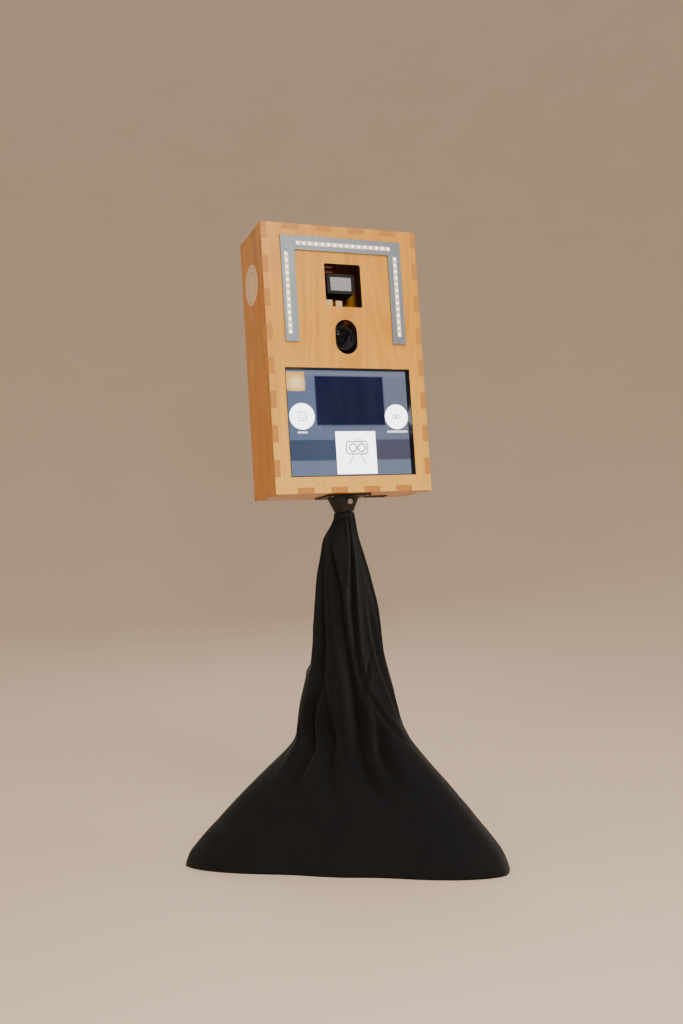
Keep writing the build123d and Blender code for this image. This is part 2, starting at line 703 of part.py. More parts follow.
def flash_body():
    """Battery body on the camera's shoe, with two cheeks and the tilt axle."""
    low = LENS_Z + CAMERA_UP + HUMP_H
    high = TILT_Z - CHEEK_R - JOIN
    half = FLASH_BODY_W / 2
    back = TILT_Y + FLASH_BODY_D / 2
    body = block(FLASH_X - half, FLASH_X + half, TILT_Y - FLASH_BODY_D / 2, back, low + SHOE_T, high)
    body = fillet(body.edges().filter_by(Axis.Z), FLASH_ROUND)
    body += block(FLASH_X - SHOE_W / 2, FLASH_X + SHOE_W / 2, BODY_Y + SHOE_FRONT, BODY_Y + SHOE_REAR,
                  low, low + SHOE_T)
    inner = TONGUE_W / 2 + GAP
    for side in (-1, 1):
        x0, x1 = sorted((FLASH_X + side * inner, FLASH_X + side * (inner + CHEEK_T)))
        body += block(x0, x1, TILT_Y - CHEEK_R, TILT_Y + CHEEK_R, high - JOIN, TILT_Z)
        body += along_x(CHEEK_R, x0, x1, TILT_Y, TILT_Z)
    return body + along_x(BOLT_R, FLASH_X - inner - JOIN, FLASH_X + inner + JOIN, TILT_Y, TILT_Z)


def window_blocks():
    """Two small plywood blocks glued behind the window's lower left corner."""
    low = BOX_BASE + WINDOW_MID - WINDOW_H / 2
    blocks = []
    for left, right, rise in BLOCKS:
        blocks.append(block(left, right, FRONT_BACK, FRONT_BACK + BLOCK_D, low - BLOCK_DROP, low + rise))
    return blocks


# ---------------------------------------------------------------- electronics
def mini_pc():
    """Small computer on the back of the screen chassis."""
    y = GLASS_Y + CHASSIS_D
    low = BOX_BASE + PC_LOW
    case = block(-PC_SIZE / 2, PC_SIZE / 2, y, y + PC_T, low, low + PC_SIZE)
    return fillet(case.edges().filter_by(Axis.Y), PC_ROUND)


def led_driver():
    """Power supply of the lights on the left side panel."""
    return block(-INNER_X, -INNER_X + DRIVER_T, DRIVER_FRONT, DRIVER_REAR,
                 BOX_BASE + DRIVER_LOW, BOX_BASE + DRIVER_HIGH)


def power_inlet():
    """Appliance inlet facing down, with three pins and a pocket for the rocker."""
    half_w = INLET_W / 2
    half_d = INLET_D / 2
    body = block(INLET_X - half_w, INLET_X + half_w, INLET_Y - half_d, INLET_Y + half_d,
                 BOX_BASE, BOX_BASE + INLET_H)
    body += block(INLET_X - half_w - INLET_RIM, INLET_X + half_w + INLET_RIM, INLET_Y - half_d - INLET_RIM,
                  INLET_Y + half_d + INLET_RIM, INLET_LOW, BOX_BASE)
    body -= block(CAVITY_X - CAVITY_W / 2, CAVITY_X + CAVITY_W / 2, INLET_Y - CAVITY_D / 2,
                  INLET_Y + CAVITY_D / 2, INLET_LOW, INLET_LOW + CAVITY_H)
    room_w = ROCKER_W / 2 + ROCKER_SIDE
    room_d = ROCKER_D / 2 + ROCKER_END
    body -= block(ROCKER_X - room_w, ROCKER_X + room_w, INLET_Y - room_d, INLET_Y + room_d,
                  INLET_LOW, INLET_LOW + ROCKER_DEEP)
    for dx, dy in PLUG_PINS:
        x = CAVITY_X + dx
        y = INLET_Y + dy
        body += block(x - PLUG_PIN_W / 2, x + PLUG_PIN_W / 2, y - PLUG_PIN_D / 2, y + PLUG_PIN_D / 2,
                      INLET_LOW + PLUG_PIN_IN, INLET_LOW + CAVITY_H + JOIN)
    half = ROCKER_W / 2 + JOIN
    body += along_x(ROCKER_AXLE_R, ROCKER_X - half, ROCKER_X + half, INLET_Y, INLET_LOW + ROCKER_AXLE_UP)
    return body


def power_rocker():
    """Rocker with a hollowed face, tilted to its on side."""
    z = INLET_LOW + ROCKER_AXLE_UP
    key = block(ROCKER_X - ROCKER_W / 2, ROCKER_X + ROCKER_W / 2, INLET_Y - ROCKER_D / 2,
                INLET_Y + ROCKER_D / 2, z - ROCKER_DOWN, z + ROCKER_UP)
    hollow_z = z - ROCKER_DOWN - ROCKER_HOLLOW_R + ROCKER_HOLLOW
    key -= along_x(ROCKER_HOLLOW_R, ROCKER_X - ROCKER_W, ROCKER_X + ROCKER_W, INLET_Y, hollow_z)
    key -= along_x(ROCKER_AXLE_R + RUN, ROCKER_X - ROCKER_W, ROCKER_X + ROCKER_W, INLET_Y, z)
    key = Pos(0, -INLET_Y, -z) * key
    return Pos(0, INLET_Y, z) * Rot(ROCKER_TILT, 0, 0) * key


def side_badge():
    """Round badge on the left side panel."""
    return along_x(BADGE_R, -BOX_W / 2 - BADGE_T, -BOX_W / 2, BADGE_Y, BOX_BASE + BADGE_MID)


# ---------------------------------------------------------------- rear door
def hinge_heights():
    middle = BOX_BASE + BOX_H / 2
    return (middle - HINGE_OFF, middle + HINGE_OFF)


def rear_door():
    """Inset door with ventilation slots and the bore of its lock."""
    low = BOX_BASE + WOOD + DOOR_GAP
    high = BOX_TOP - WOOD - DOOR_GAP
    door = block(-INNER_X + DOOR_GAP, INNER_X - DOOR_GAP, DOOR_IN, REAR, low, high)
    door -= along_y(BARREL_R, DOOR_IN, REAR, LOCK_X, LOCK_Z)
    for level in (BOX_BASE + VENT_LEVEL, BOX_TOP - VENT_LEVEL):
        for i in range(VENTS):
            z = level + (i - (VENTS - 1) / 2) * VENT_PITCH
            slot = Plane.XZ.offset(-REAR) * Pos(0, z) * SlotOverall(VENT_L, VENT_W)
            door -= extrude(slot, amount=WOOD)
    for z in hinge_heights():
        for lift in (-1, 1):
            door -= screw_hole(HINGE_X + LEAF_SCREW, REAR, z + lift * HINGE_L / 4,
                               SMALL_HEAD_R, SCREW_L - LEAF_T, (0, 1, 0))
    return door


def knuckles(z, moving):
    """Middle knuckle of the moving leaf, or the two outer ones of the fixed leaf."""
    third = HINGE_L / 3
    low = z - HINGE_L / 2
    spans = [(1, 2)] if moving else [(0, 1), (2, 3)]
    rings = []
    for a, b in spans:
        rings.append((low + a * third + GAP / 2, low + b * third - GAP / 2))
    return rings


def hinge_leaf(z, moving):
    """A leaf on the rear face with its knuckles round the pin."""
    side = 1 if moving else -1
    x0, x1 = sorted((HINGE_X + side * LEAF_SPLIT, HINGE_X + side * LEAF_W))
    leaf = block(x0, x1, REAR, REAR + LEAF_T, z - HINGE_L / 2, z + HINGE_L / 2)
    room = upright(KNUCKLE_R + GAP, z - HINGE_L / 2, z + HINGE_L / 2, HINGE_X, HINGE_Y)
    leaf -= room
    bore = PIN_R + (RUN if moving else 0)
    for z0, z1 in knuckles(z, moving):
        x2, x3 = sorted((HINGE_X, HINGE_X + side * (KNUCKLE_R + JOIN)))
        leaf += upright(KNUCKLE_R, z0, z1, HINGE_X, HINGE_Y)
        leaf += block(x2, x3, REAR, REAR + LEAF_T, z0, z1)
        leaf -= upright(bore, z0 - JOIN, z1 + JOIN, HINGE_X, HINGE_Y)
    offset = -BOX_W / 2 + WOOD / 2 if not moving else HINGE_X + LEAF_SCREW
    for lift in (-1, 1):
        leaf -= along_y(SMALL_HEAD_R / 2, REAR, REAR + LEAF_T, offset, z + lift * HINGE_L / 4)
    return leaf


def hinge_pin(z):
    half = HINGE_L / 2 + PIN_PROUD
    return upright(PIN_R, z - half, z + half, HINGE_X, HINGE_Y)


def lock_barrel():
    """Fixed barrel of the cam lock with its rim on the door's rear face."""
    barrel = along_y(BARREL_R, CAM_Y + CAM_T + JOIN, REAR, LOCK_X, LOCK_Z)
    barrel += along_y(BARREL_RIM_R, REAR, REAR + BARREL_RIM_T, LOCK_X, LOCK_Z)
    return barrel - along_y(PLUG_R + RUN, CAM_Y, REAR + BARREL_RIM_T + JOIN, LOCK_X, LOCK_Z)


def lock_plug():
    """Turning plug with a key slot."""
    plug = along_y(PLUG_R, CAM_Y - BARREL_RIM_T, REAR + PLUG_PROUD, LOCK_X, LOCK_Z)
    half = KEY_SLOT_W / 2
    return plug - block(LOCK_X - half, LOCK_X + half, REAR - KEY_SLOT_DEEP, REAR + PLUG_PROUD + JOIN,
                        LOCK_Z - KEY_SLOT_H / 2, LOCK_Z + KEY_SLOT_H / 2)


def lock_cam():
    """Cam behind the door, pointing up while the door is unlocked."""
    back = CAM_Y + CAM_T
    cam = block(LOCK_X - CAM_HALF, LOCK_X + CAM_HALF, CAM_Y, back, LOCK_Z - CAM_HALF, LOCK_Z + CAM_L)
    cam = fillet(cam.edges().filter_by(Axis.Y), CAM_ROUND)
    return cam - along_y(PLUG_R, CAM_Y, back, LOCK_X, LOCK_Z)


def lock_keeper():
    """Steel angle on the right side panel that the turned cam catches behind."""
    face = CAM_Y + CAM_T + GAP
    low = LOCK_Z - CATCH_W
    high = LOCK_Z + CATCH_W
    catch = block(INNER_X - CATCH_W, INNER_X, face, face + CATCH_T, low, high)
    return catch + block(INNER_X - CATCH_T, INNER_X, face - CATCH_D, face + CATCH_T, low, high)


# ---------------------------------------------------------------- pole socket and mast
def pole_socket():
    """Plate and tapered cup under the cabinet, with a closed sleeve through the bottom panel."""
    low = BOX_BASE - SOCKET_DROP
    plate = block(-SOCKET_PLATE / 2, SOCKET_PLATE / 2, -SOCKET_PLATE / 2, SOCKET_PLATE / 2,
                  BOX_BASE - SOCKET_PLATE_T, BOX_BASE)
    plate = fillet(plate.edges().filter_by(Axis.Z), SOCKET_CORNER)
    cup_h = SOCKET_DROP - SOCKET_PLATE_T
    cup = Pos(0, 0, low + cup_h / 2) * Cone(SOCKET_LOW_R, SOCKET_TOP_R, cup_h)
    sleeve = upright(TUBE_R + SOCKET_WALL, BOX_BASE, BOX_BASE + SOCKET_RISE)
    body = plate + cup + sleeve
    body -= upright(TUBE_R + RUN, low, BOX_BASE + SOCKET_RISE - SOCKET_FLOOR)
    body -= along_y(BOLT_R + RUN, -SOCKET_TOP_R, -TUBE_R, 0, CLAMP_SCREW_Z)
    for x, y in socket_screw_places():
        body -= upright(SCREW_HEAD_R / 2, BOX_BASE - SOCKET_PLATE_T, BOX_BASE, x, y)
    return body


def socket_clamp_screw():
    """Bright knurled screw that clamps the socket on the pole."""
    reach = SOCKET_TOP_R - SOCKET_HEAD_SINK
    end = reach + SOCKET_HEAD_L
    shank = along_y(BOLT_R, -reach, -TUBE_R - GAP, 0, CLAMP_SCREW_Z)
    head = along_y(SOCKET_HEAD_R, -end, -reach, 0, CLAMP_SCREW_Z)
    knurl = SOCKET_HEAD_R + KNURL_OUT
    for i in range(KNURLS):
        turn = 2 * pi * i / KNURLS
        head -= along_y(KNURL_R, -end, -reach, knurl * cos(turn), CLAMP_SCREW_Z + knurl * sin(turn))
    return shank + head


def mast_inner():
    high = BOX_BASE + SOCKET_RISE - SOCKET_FLOOR - GAP
    return upright(TUBE_R, TUBE_LOW, high) - upright(TUBE_R - TUBE_T, TUBE_LOW, high)


def knob_axis(z):
    """Places a shape built along +X from the mast's axis at the knobs' azimuth."""
    return Pos(0, 0, z) * facing(KNOB_AZ)


def mast_outer():
    tube = upright(SLEEVE_R, SLEEVE_LOW, SLEEVE_HIGH)
    tube -= upright(SLEEVE_R - SLEEVE_T, SLEEVE_LOW + SLEEVE_FLOOR, SLEEVE_HIGH)
    return tube - knob_axis(CLAMP_KNOB_Z) * along_x(BOLT_R + RUN, TUBE_R, SLEEVE_R + JOIN, 0, 0)


def mast_clamp():
    """Plastic clamp on the outer tube, with a guide bush inside it and a boss for the knob."""
    high = SLEEVE_HIGH + CLAMP_CAP
    bush = SLEEVE_HIGH - CLAMP_BUSH_L
    boss = CLAMP_R + CLAMP_BOSS_L
    clamp = upright(CLAMP_R, high - CLAMP_L, high)
    clamp += knob_axis(CLAMP_KNOB_Z) * along_x(CLAMP_BOSS_R, BOSS_IN, boss, 0, 0)
    clamp -= upright(SLEEVE_R, high - CLAMP_L, SLEEVE_HIGH)
    clamp += upright(SLEEVE_R - SLEEVE_T, bush, high)
    clamp -= upright(TUBE_R + RUN, bush, high)
    return clamp - knob_axis(CLAMP_KNOB_Z) * along_x(BOLT_R + RUN, TUBE_R - JOIN, boss + JOIN, 0, 0)


def clamp_knob(z, inner, start, length, radius):
    """Screw with a lobed plastic knob, from the radius inner out to start plus length."""
    knob = along_x(BOLT_R, inner, start + JOIN, 0, 0) + along_x(radius, start, start + length, 0, 0)
    for i in range(LOBES):
        turn = 2 * pi * i / LOBES
        y = (radius + LOBE_OUT) * cos(turn)
        height = (radius + LOBE_OUT) * sin(turn)
        knob -= along_x(radius * LOBE_SHARE, start, start + length, y, height)
    return knob_axis(z) * knob


# ---------------------------------------------------------------- tripod
def tangent_rod(radius, half, out, z):
    """A cylinder along the local Y, centred on the plane of a leg."""
    return along_y(radius, -half, half, out, z)


def leg_hub():
    """Sliding collar with three pairs of ears and a boss for its knob."""
    low = HUB_PIVOT_Z - HUB_DOWN
    high = HUB_PIVOT_Z + HUB_UP
    boss = HUB_R + HUB_BOSS_L
    hub = upright(HUB_R, low, high)
    for azimuth in LEG_AZ:
        for side in (-1, 1):
            y0, y1 = sorted((side * EAR_IN, side * (EAR_IN + EAR_T)))
            ear = block(LUG_IN, PIVOT_OUT, y0, y1, HUB_PIVOT_Z - EAR_R, HUB_PIVOT_Z + EAR_R)
            ear += along_y(EAR_R, y0, y1, PIVOT_OUT, HUB_PIVOT_Z)
            hub += facing(azimuth) * ear
    hub += knob_axis(HUB_KNOB_Z) * along_x(HUB_BOSS_R, BOSS_IN, boss, 0, 0)
    hub -= upright(SLEEVE_R + GAP, low, high)
    hub -= knob_axis(HUB_KNOB_Z) * along_x(BOLT_R + RUN, BOSS_IN, boss + JOIN, 0, 0)
    for azimuth in LEG_AZ:
        hub -= facing(azimuth) * tangent_rod(BOLT_R, EAR_IN + EAR_T, PIVOT_OUT, HUB_PIVOT_Z)
    return hub


def headed_pin(half, out, z):
    """A pivot pin with a head on each end; half is the distance from the middle to the inside of a head."""
    pin = tangent_rod(BOLT_R, half, out, z)
    for side in (-1, 1):
        y0, y1 = sorted((side * half, side * (half + PIN_HEAD_T)))
        pin += along_y(BOLT_R + PIN_HEAD_RIM, y0, y1, out, z)
    return pin


def lower_collar():
    """Fixed collar at the mast's foot with three lugs for the braces."""
    low = COLLAR_PIVOT_Z - COLLAR_HALF
    high = COLLAR_PIVOT_Z + COLLAR_HALF
    collar = upright(SLEEVE_R + COLLAR_WALL, low, high)
    for azimuth in LEG_AZ:
        lug = block(LUG_IN, PIVOT_OUT, -LEG_R, LEG_R, COLLAR_PIVOT_Z - LUG_R, COLLAR_PIVOT_Z + LUG_R)
        lug += tangent_rod(LUG_R, LEG_R, PIVOT_OUT, COLLAR_PIVOT_Z)
        lug -= tangent_rod(BOLT_R, LEG_R, PIVOT_OUT, COLLAR_PIVOT_Z)
        collar += facing(azimuth) * lug
    return collar - upright(SLEEVE_R, low, high)


def in_leg_frame(azimuth, shape):
    """Carries a shape built downwards along -Z from the hub's pivot to a spread leg."""
    return facing(azimuth) * Pos(PIVOT_OUT, 0, HUB_PIVOT_Z) * Rot(0, -LEG_SPREAD, 0) * shape


def leg(azimuth):
    """Tube with a solid rounded upper end, bored for the hub's pin and the brace's rivet."""
    tube = upright(LEG_R, -LEG_L, 0) - upright(LEG_R - LEG_T, -LEG_L, -LEG_SOLID)
    nose = upright(LEG_R, -JOIN, LEG_R) & tangent_rod(LEG_R, LEG_R, 0, 0)
    tube += nose
    tube -= tangent_rod(BOLT_R + RUN, LEG_R, 0, 0)
    tube -= tangent_rod(BOLT_R + RUN, LEG_R, 0, -BRACE_L)
    return in_leg_frame(azimuth, tube)


def foot(azimuth):
    """Rubber foot over the leg's lower end, cut flat at the floor."""
    end = -LEG_L - FOOT_PAST
    rim = -LEG_L + FOOT_CUP
    cap = fillet(upright(FOOT_R, end, rim).edges().filter_by(GeomType.CIRCLE), FOOT_ROUND)
    cap -= upright(LEG_R, -LEG_L, rim + JOIN)
    cap = in_leg_frame(azimuth, cap)
    return cap - block(-2 * LEG_L, 2 * LEG_L, -2 * LEG_L, 2 * LEG_L, -LEG_L, 0)


def brace(azimuth):
    """Two flat bars from the lower collar to the leg, joined by the rivet through the leg."""
    shapes = []
    for side in (-1, 1):
        y0, y1 = sorted((side * EAR_IN, side * (EAR_IN + BRACE_T)))
        bar = block(-BRACE_W / 2, BRACE_W / 2, y0, y1, 0, BRACE_L)
        bar += along_y(BRACE_W / 2, y0, y1, 0, 0) + along_y(BRACE_W / 2, y0, y1, 0, BRACE_L)
        bar -= along_y(BOLT_R + RUN, y0, y1, 0, 0)
        bar -= along_y(BOLT_R, y0, y1, 0, BRACE_L)
        shapes.append(bar)
    shapes.append(headed_pin(EAR_IN + BRACE_T, 0, BRACE_L))
    lift = facing(azimuth) * Pos(PIVOT_OUT, 0, COLLAR_PIVOT_Z) * Rot(0, LEG_SPREAD, 0)
    return [lift * shape for shape in shapes]


# ---------------------------------------------------------------- cover
def leg_line(z):
    """Distance of a leg's middle line from the mast's axis at a height."""
    return PIVOT_OUT + (HUB_PIVOT_Z - z) * tan(radians(LEG_SPREAD))


def cover_levels():
    """Height, radius between the legs, extra radius over a leg and lean towards the knobs."""
    levels = []
    skirt = HUB_PIVOT_Z - SKIRT_DROP
    for share, between in SKIRT:
        z = share * skirt
        inside = FOOT_R if z < 3 * FOOT_R else LEG_R
        over = leg_line(z) + inside / cos(radians(LEG_SPREAD)) + CLOTH_CLEAR + CLOTH_BULGE * sin(pi * share)
        if z < 1.5 * FOOT_R:
            over = FOOT_REACH + HEM_OUT
        levels.append((z, over * between, over * (1 - between), 0.0))
    for up, between, extra, lean in BODY:
        levels.append((HUB_PIVOT_Z + up, between, extra, lean))
    for up, between, lean in NECK:
        levels.append((CLAMP_KNOB_Z + up, between, 0, lean))
    levels.append((COVER_TOP, NECK_R, 0, 0))
    return levels


def cover_section(z, between, extra, lean, inset):
    """One level of the cover as a closed smooth outline."""
    points = []
    for i in range(COVER_POINTS):
        azimuth = 360 * i / COVER_POINTS
        off = min(abs((azimuth - a + 180) % 360 - 180) for a in LEG_AZ)
        radius = between + extra * exp(-(off / RIDGE_WIDTH) ** 1.5)
        radius += lean * cos(radians(azimuth - KNOB_AZ)) - inset
        points.append((radius * sin(radians(azimuth)), -radius * cos(radians(azimuth))))
    return Pos(0, 0, z) * make_face(Spline(*points, periodic=True).edges())


def cloth_cover():
    """Cloth drawn round the mast's neck and spread over the tripod, open at the hem."""
    levels = cover_levels()
    outside = loft([cover_section(*level, 0) for level in levels], ruled=True)
    hem = levels[0]
    top = levels[-1]
    inside_levels = [(hem[0] - COVER_T,) + hem[1:]] + levels + [(top[0] + COVER_T,) + top[1:]]
    inside = loft([cover_section(*level, COVER_T) for level in inside_levels], ruled=True)
    return outside - inside


def neck_tie():
    """Band tied round the cover's neck."""
    low = COVER_TOP - TIE_LOW
    high = COVER_TOP - TIE_HIGH
    return upright(NECK_R + TIE_T, low, high) - cover_outside(low - JOIN, high + JOIN)


def cover_outside(z0, z1):
    """The part of the cover's filled outside between two heights."""
    top = cover_levels()[-1]
    last = cover_levels()[-2]
    neck = loft([cover_section(*last, 0), cover_section(*top, 0)], ruled=True)
    return neck & block(-BOX_W, BOX_W, -BOX_W, BOX_W, z0, z1)


# ---------------------------------------------------------------- fasteners
def case_screws():
    """Every visible screw of the cabinet."""
    screws = [screw(x, FRONT - BAR_T, z) for x, z in bar_screws()]
    for _, x, z in tab_places():
        screws.append(screw(x, FRONT_BACK + TAB_T, z, out=(0, 1, 0)))
    for x, y in socket_screw_places():
        screws.append(screw(x, y, BOX_BASE - SOCKET_PLATE_T, out=(0, 0, -1)))
    for z in hinge_heights():
        for lift in (-1, 1):
            screws.append(screw(-BOX_W / 2 + WOOD / 2, REAR + LEAF_T, z + lift * HINGE_L / 4,
                                SMALL_HEAD_R, SMALL_HEAD_T, out=(0, 1, 0)))
    return screws


def door_screws():
    screws = []
    for z in hinge_heights():
        for lift in (-1, 1):
            screws.append(screw(HINGE_X + LEAF_SCREW, REAR + LEAF_T, z + lift * HINGE_L / 4,
                                SMALL_HEAD_R, SMALL_HEAD_T, out=(0, 1, 0)))
    return screws


# ---------------------------------------------------------------- write the nodes
def write_cabinet():
    save("front_panel", front_panel())
    save("side_panel_left", side_panel(-1))
    save("side_panel_right", side_panel(1))
    save("top_panel", level_panel(BOX_TOP - WOOD, BOX_TOP))
    save("bottom_panel", bottom_panel())
    for name, bar in zip(("light_bar_left", "light_bar_top", "light_bar_right"), light_bars()):
        save(name, bar)
    save("light_tapes", *[light_tape(run) for run in light_runs()])
    chips = []
    for run in light_runs():
        chips += light_chips(run)
    save("light_chips", *chips)
    save("case_screws", *case_screws())
    save("side_badge", side_badge())


def write_inside():
    save("screen_bezel", screen_bezel())
    save("touch_glass", screen_block(GLASS_W, GLASS_H, GLASS_Y, GLASS_Y + GLASS_T))
    save("lcd_panel", screen_block(GLASS_W, GLASS_H, GLASS_Y + GLASS_T, GLASS_Y + GLASS_T + LCD_T))
    save("monitor_chassis", monitor_chassis())
    save("camera_shelf", camera_shelf())
    save("camera_body", camera_body())
    save("camera_lens", camera_lens())
    save("zoom_ring", zoom_ring())
    save("lens_glass", lens_glass())
    save("shutter_button", shutter_button())
    save("camera_screw", camera_screw())
    save("flash_head", flash_head())
    save("flash_window", flash_window())
    save("flash_body", flash_body())
    save("window_blocks", *window_blocks())
    save("mini_pc", mini_pc())
    save("light_driver", led_driver())
    save("power_inlet", power_inlet())
    save("power_rocker", power_rocker())


def write_door():
    heights = hinge_heights()
    save("rear_door", rear_door())
    save("hinge_leaves_fixed", *[hinge_leaf(z, False) for z in heights], *[hinge_pin(z) for z in heights])
    save("hinge_leaves_door", *[hinge_leaf(z, True) for z in heights])
    save("door_screws", *door_screws())
    save("lock_barrel", lock_barrel())
    save("lock_cam", lock_cam(), lock_plug())
    save("lock_keeper", lock_keeper())


def write_stand():
    save("pole_socket", pole_socket())
    save("socket_clamp_screw", socket_clamp_screw())
    save("mast_inner", mast_inner())
    save("mast_outer", mast_outer())
    save("mast_clamp", mast_clamp())
    save("mast_clamp_knob", clamp_knob(CLAMP_KNOB_Z, TUBE_R + GAP, CLAMP_R + CLAMP_BOSS_L + JOIN,
                                       CLAMP_KNOB_L, CLAMP_KNOB_R))
    save("leg_hub", leg_hub())
    save("hub_knob", clamp_knob(HUB_KNOB_Z, SLEEVE_R + GAP, HUB_R + HUB_BOSS_L + JOIN,
                                HUB_KNOB_L, HUB_KNOB_R))
    save("lower_collar", lower_collar())
    hub_pins = []
    collar_pins = []
    for number, azimuth in enumerate(LEG_AZ, 1):
        save(f"leg_{number}", leg(azimuth))
        save(f"foot_{number}", foot(azimuth))
        save(f"brace_{number}", *brace(azimuth))
        hub_pins.append(facing(azimuth) * headed_pin(EAR_IN + EAR_T, PIVOT_OUT, HUB_PIVOT_Z))
        collar_pins.append(facing(azimuth) * headed_pin(EAR_IN + BRACE_T + GAP, PIVOT_OUT, COLLAR_PIVOT_Z))
    save("hub_pins", *hub_pins)
    save("collar_pins", *collar_pins)
    save("cloth_cover", cloth_cover())
    save("neck_tie", neck_tie())


write_cabinet()
write_inside()
write_door()
write_stand()
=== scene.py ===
import logging
import math
from collections.abc import Callable, Mapping, Sequence
from dataclasses import dataclass, field
from enum import Enum
from typing import Any

import bmesh
import bpy
import numpy as np
from mathutils import Matrix, Vector


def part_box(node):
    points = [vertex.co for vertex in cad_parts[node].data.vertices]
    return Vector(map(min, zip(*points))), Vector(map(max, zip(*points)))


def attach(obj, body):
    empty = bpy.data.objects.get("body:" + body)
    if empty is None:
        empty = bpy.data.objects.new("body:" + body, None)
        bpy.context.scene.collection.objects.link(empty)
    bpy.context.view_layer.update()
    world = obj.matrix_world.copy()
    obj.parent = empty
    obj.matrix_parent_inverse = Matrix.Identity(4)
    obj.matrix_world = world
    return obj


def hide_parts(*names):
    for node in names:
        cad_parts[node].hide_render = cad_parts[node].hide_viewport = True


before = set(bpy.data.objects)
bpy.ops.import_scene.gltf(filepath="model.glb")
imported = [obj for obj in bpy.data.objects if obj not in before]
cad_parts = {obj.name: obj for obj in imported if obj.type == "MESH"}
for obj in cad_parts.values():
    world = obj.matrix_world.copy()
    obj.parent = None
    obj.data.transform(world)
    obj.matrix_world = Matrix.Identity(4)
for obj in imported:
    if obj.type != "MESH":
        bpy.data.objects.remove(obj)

# Photo booth: a plywood cabinet with a touch screen, camera, flash and light frame,
# on a tripod under a cloth cover.
# Metres. Origin on the floor on the mast's axis, +Z up, the cabinet's front faces -Y.

LOG = logging.getLogger("photo_booth")
MM = 0.001
FULL_TURN = 2.0 * math.pi
MERGE = 1e-6             # points nearer than this are one
PLY_LAYER = 0.00136      # thickness of a plywood layer
SCREEN_ROW = 0.000264    # pitch of the screen's rows
GORE = 30.0              # degrees of the cover that one strip of cloth takes up
HALF_STRIP = 15.0
TIE_RADIUS = 26.0        # millimetres, to the middle of the tie's band
BADGE_RINGS = ((0.044, 0.0008), (0.034, 0.0006))    # radius and half width
BADGE_BLADES = (6.0, 160.0, 0.022, 0.012)           # count, twist, radius, half width
Colour = tuple[float, float, float, float]
Socket = bpy.types.NodeSocket


class Axis(Enum):
    """An axis of the object's frame, by its place in a vector."""

    X = 0
    Y = 1
    Z = 2


def tone(red: int, green: int, blue: int) -> Colour:
    """A linear colour from its three display values, 0 to 255."""
    parts = [c / 255.0 for c in (red, green, blue)]
    linear = [p / 12.92 if p <= 0.04045 else ((p + 0.055) / 1.055) ** 2.4 for p in parts]
    return (linear[0], linear[1], linear[2], 1.0)


DUST = tone(170, 162, 152)
WOOD_DUST = tone(196, 186, 172)
LAMP = tone(255, 246, 232)


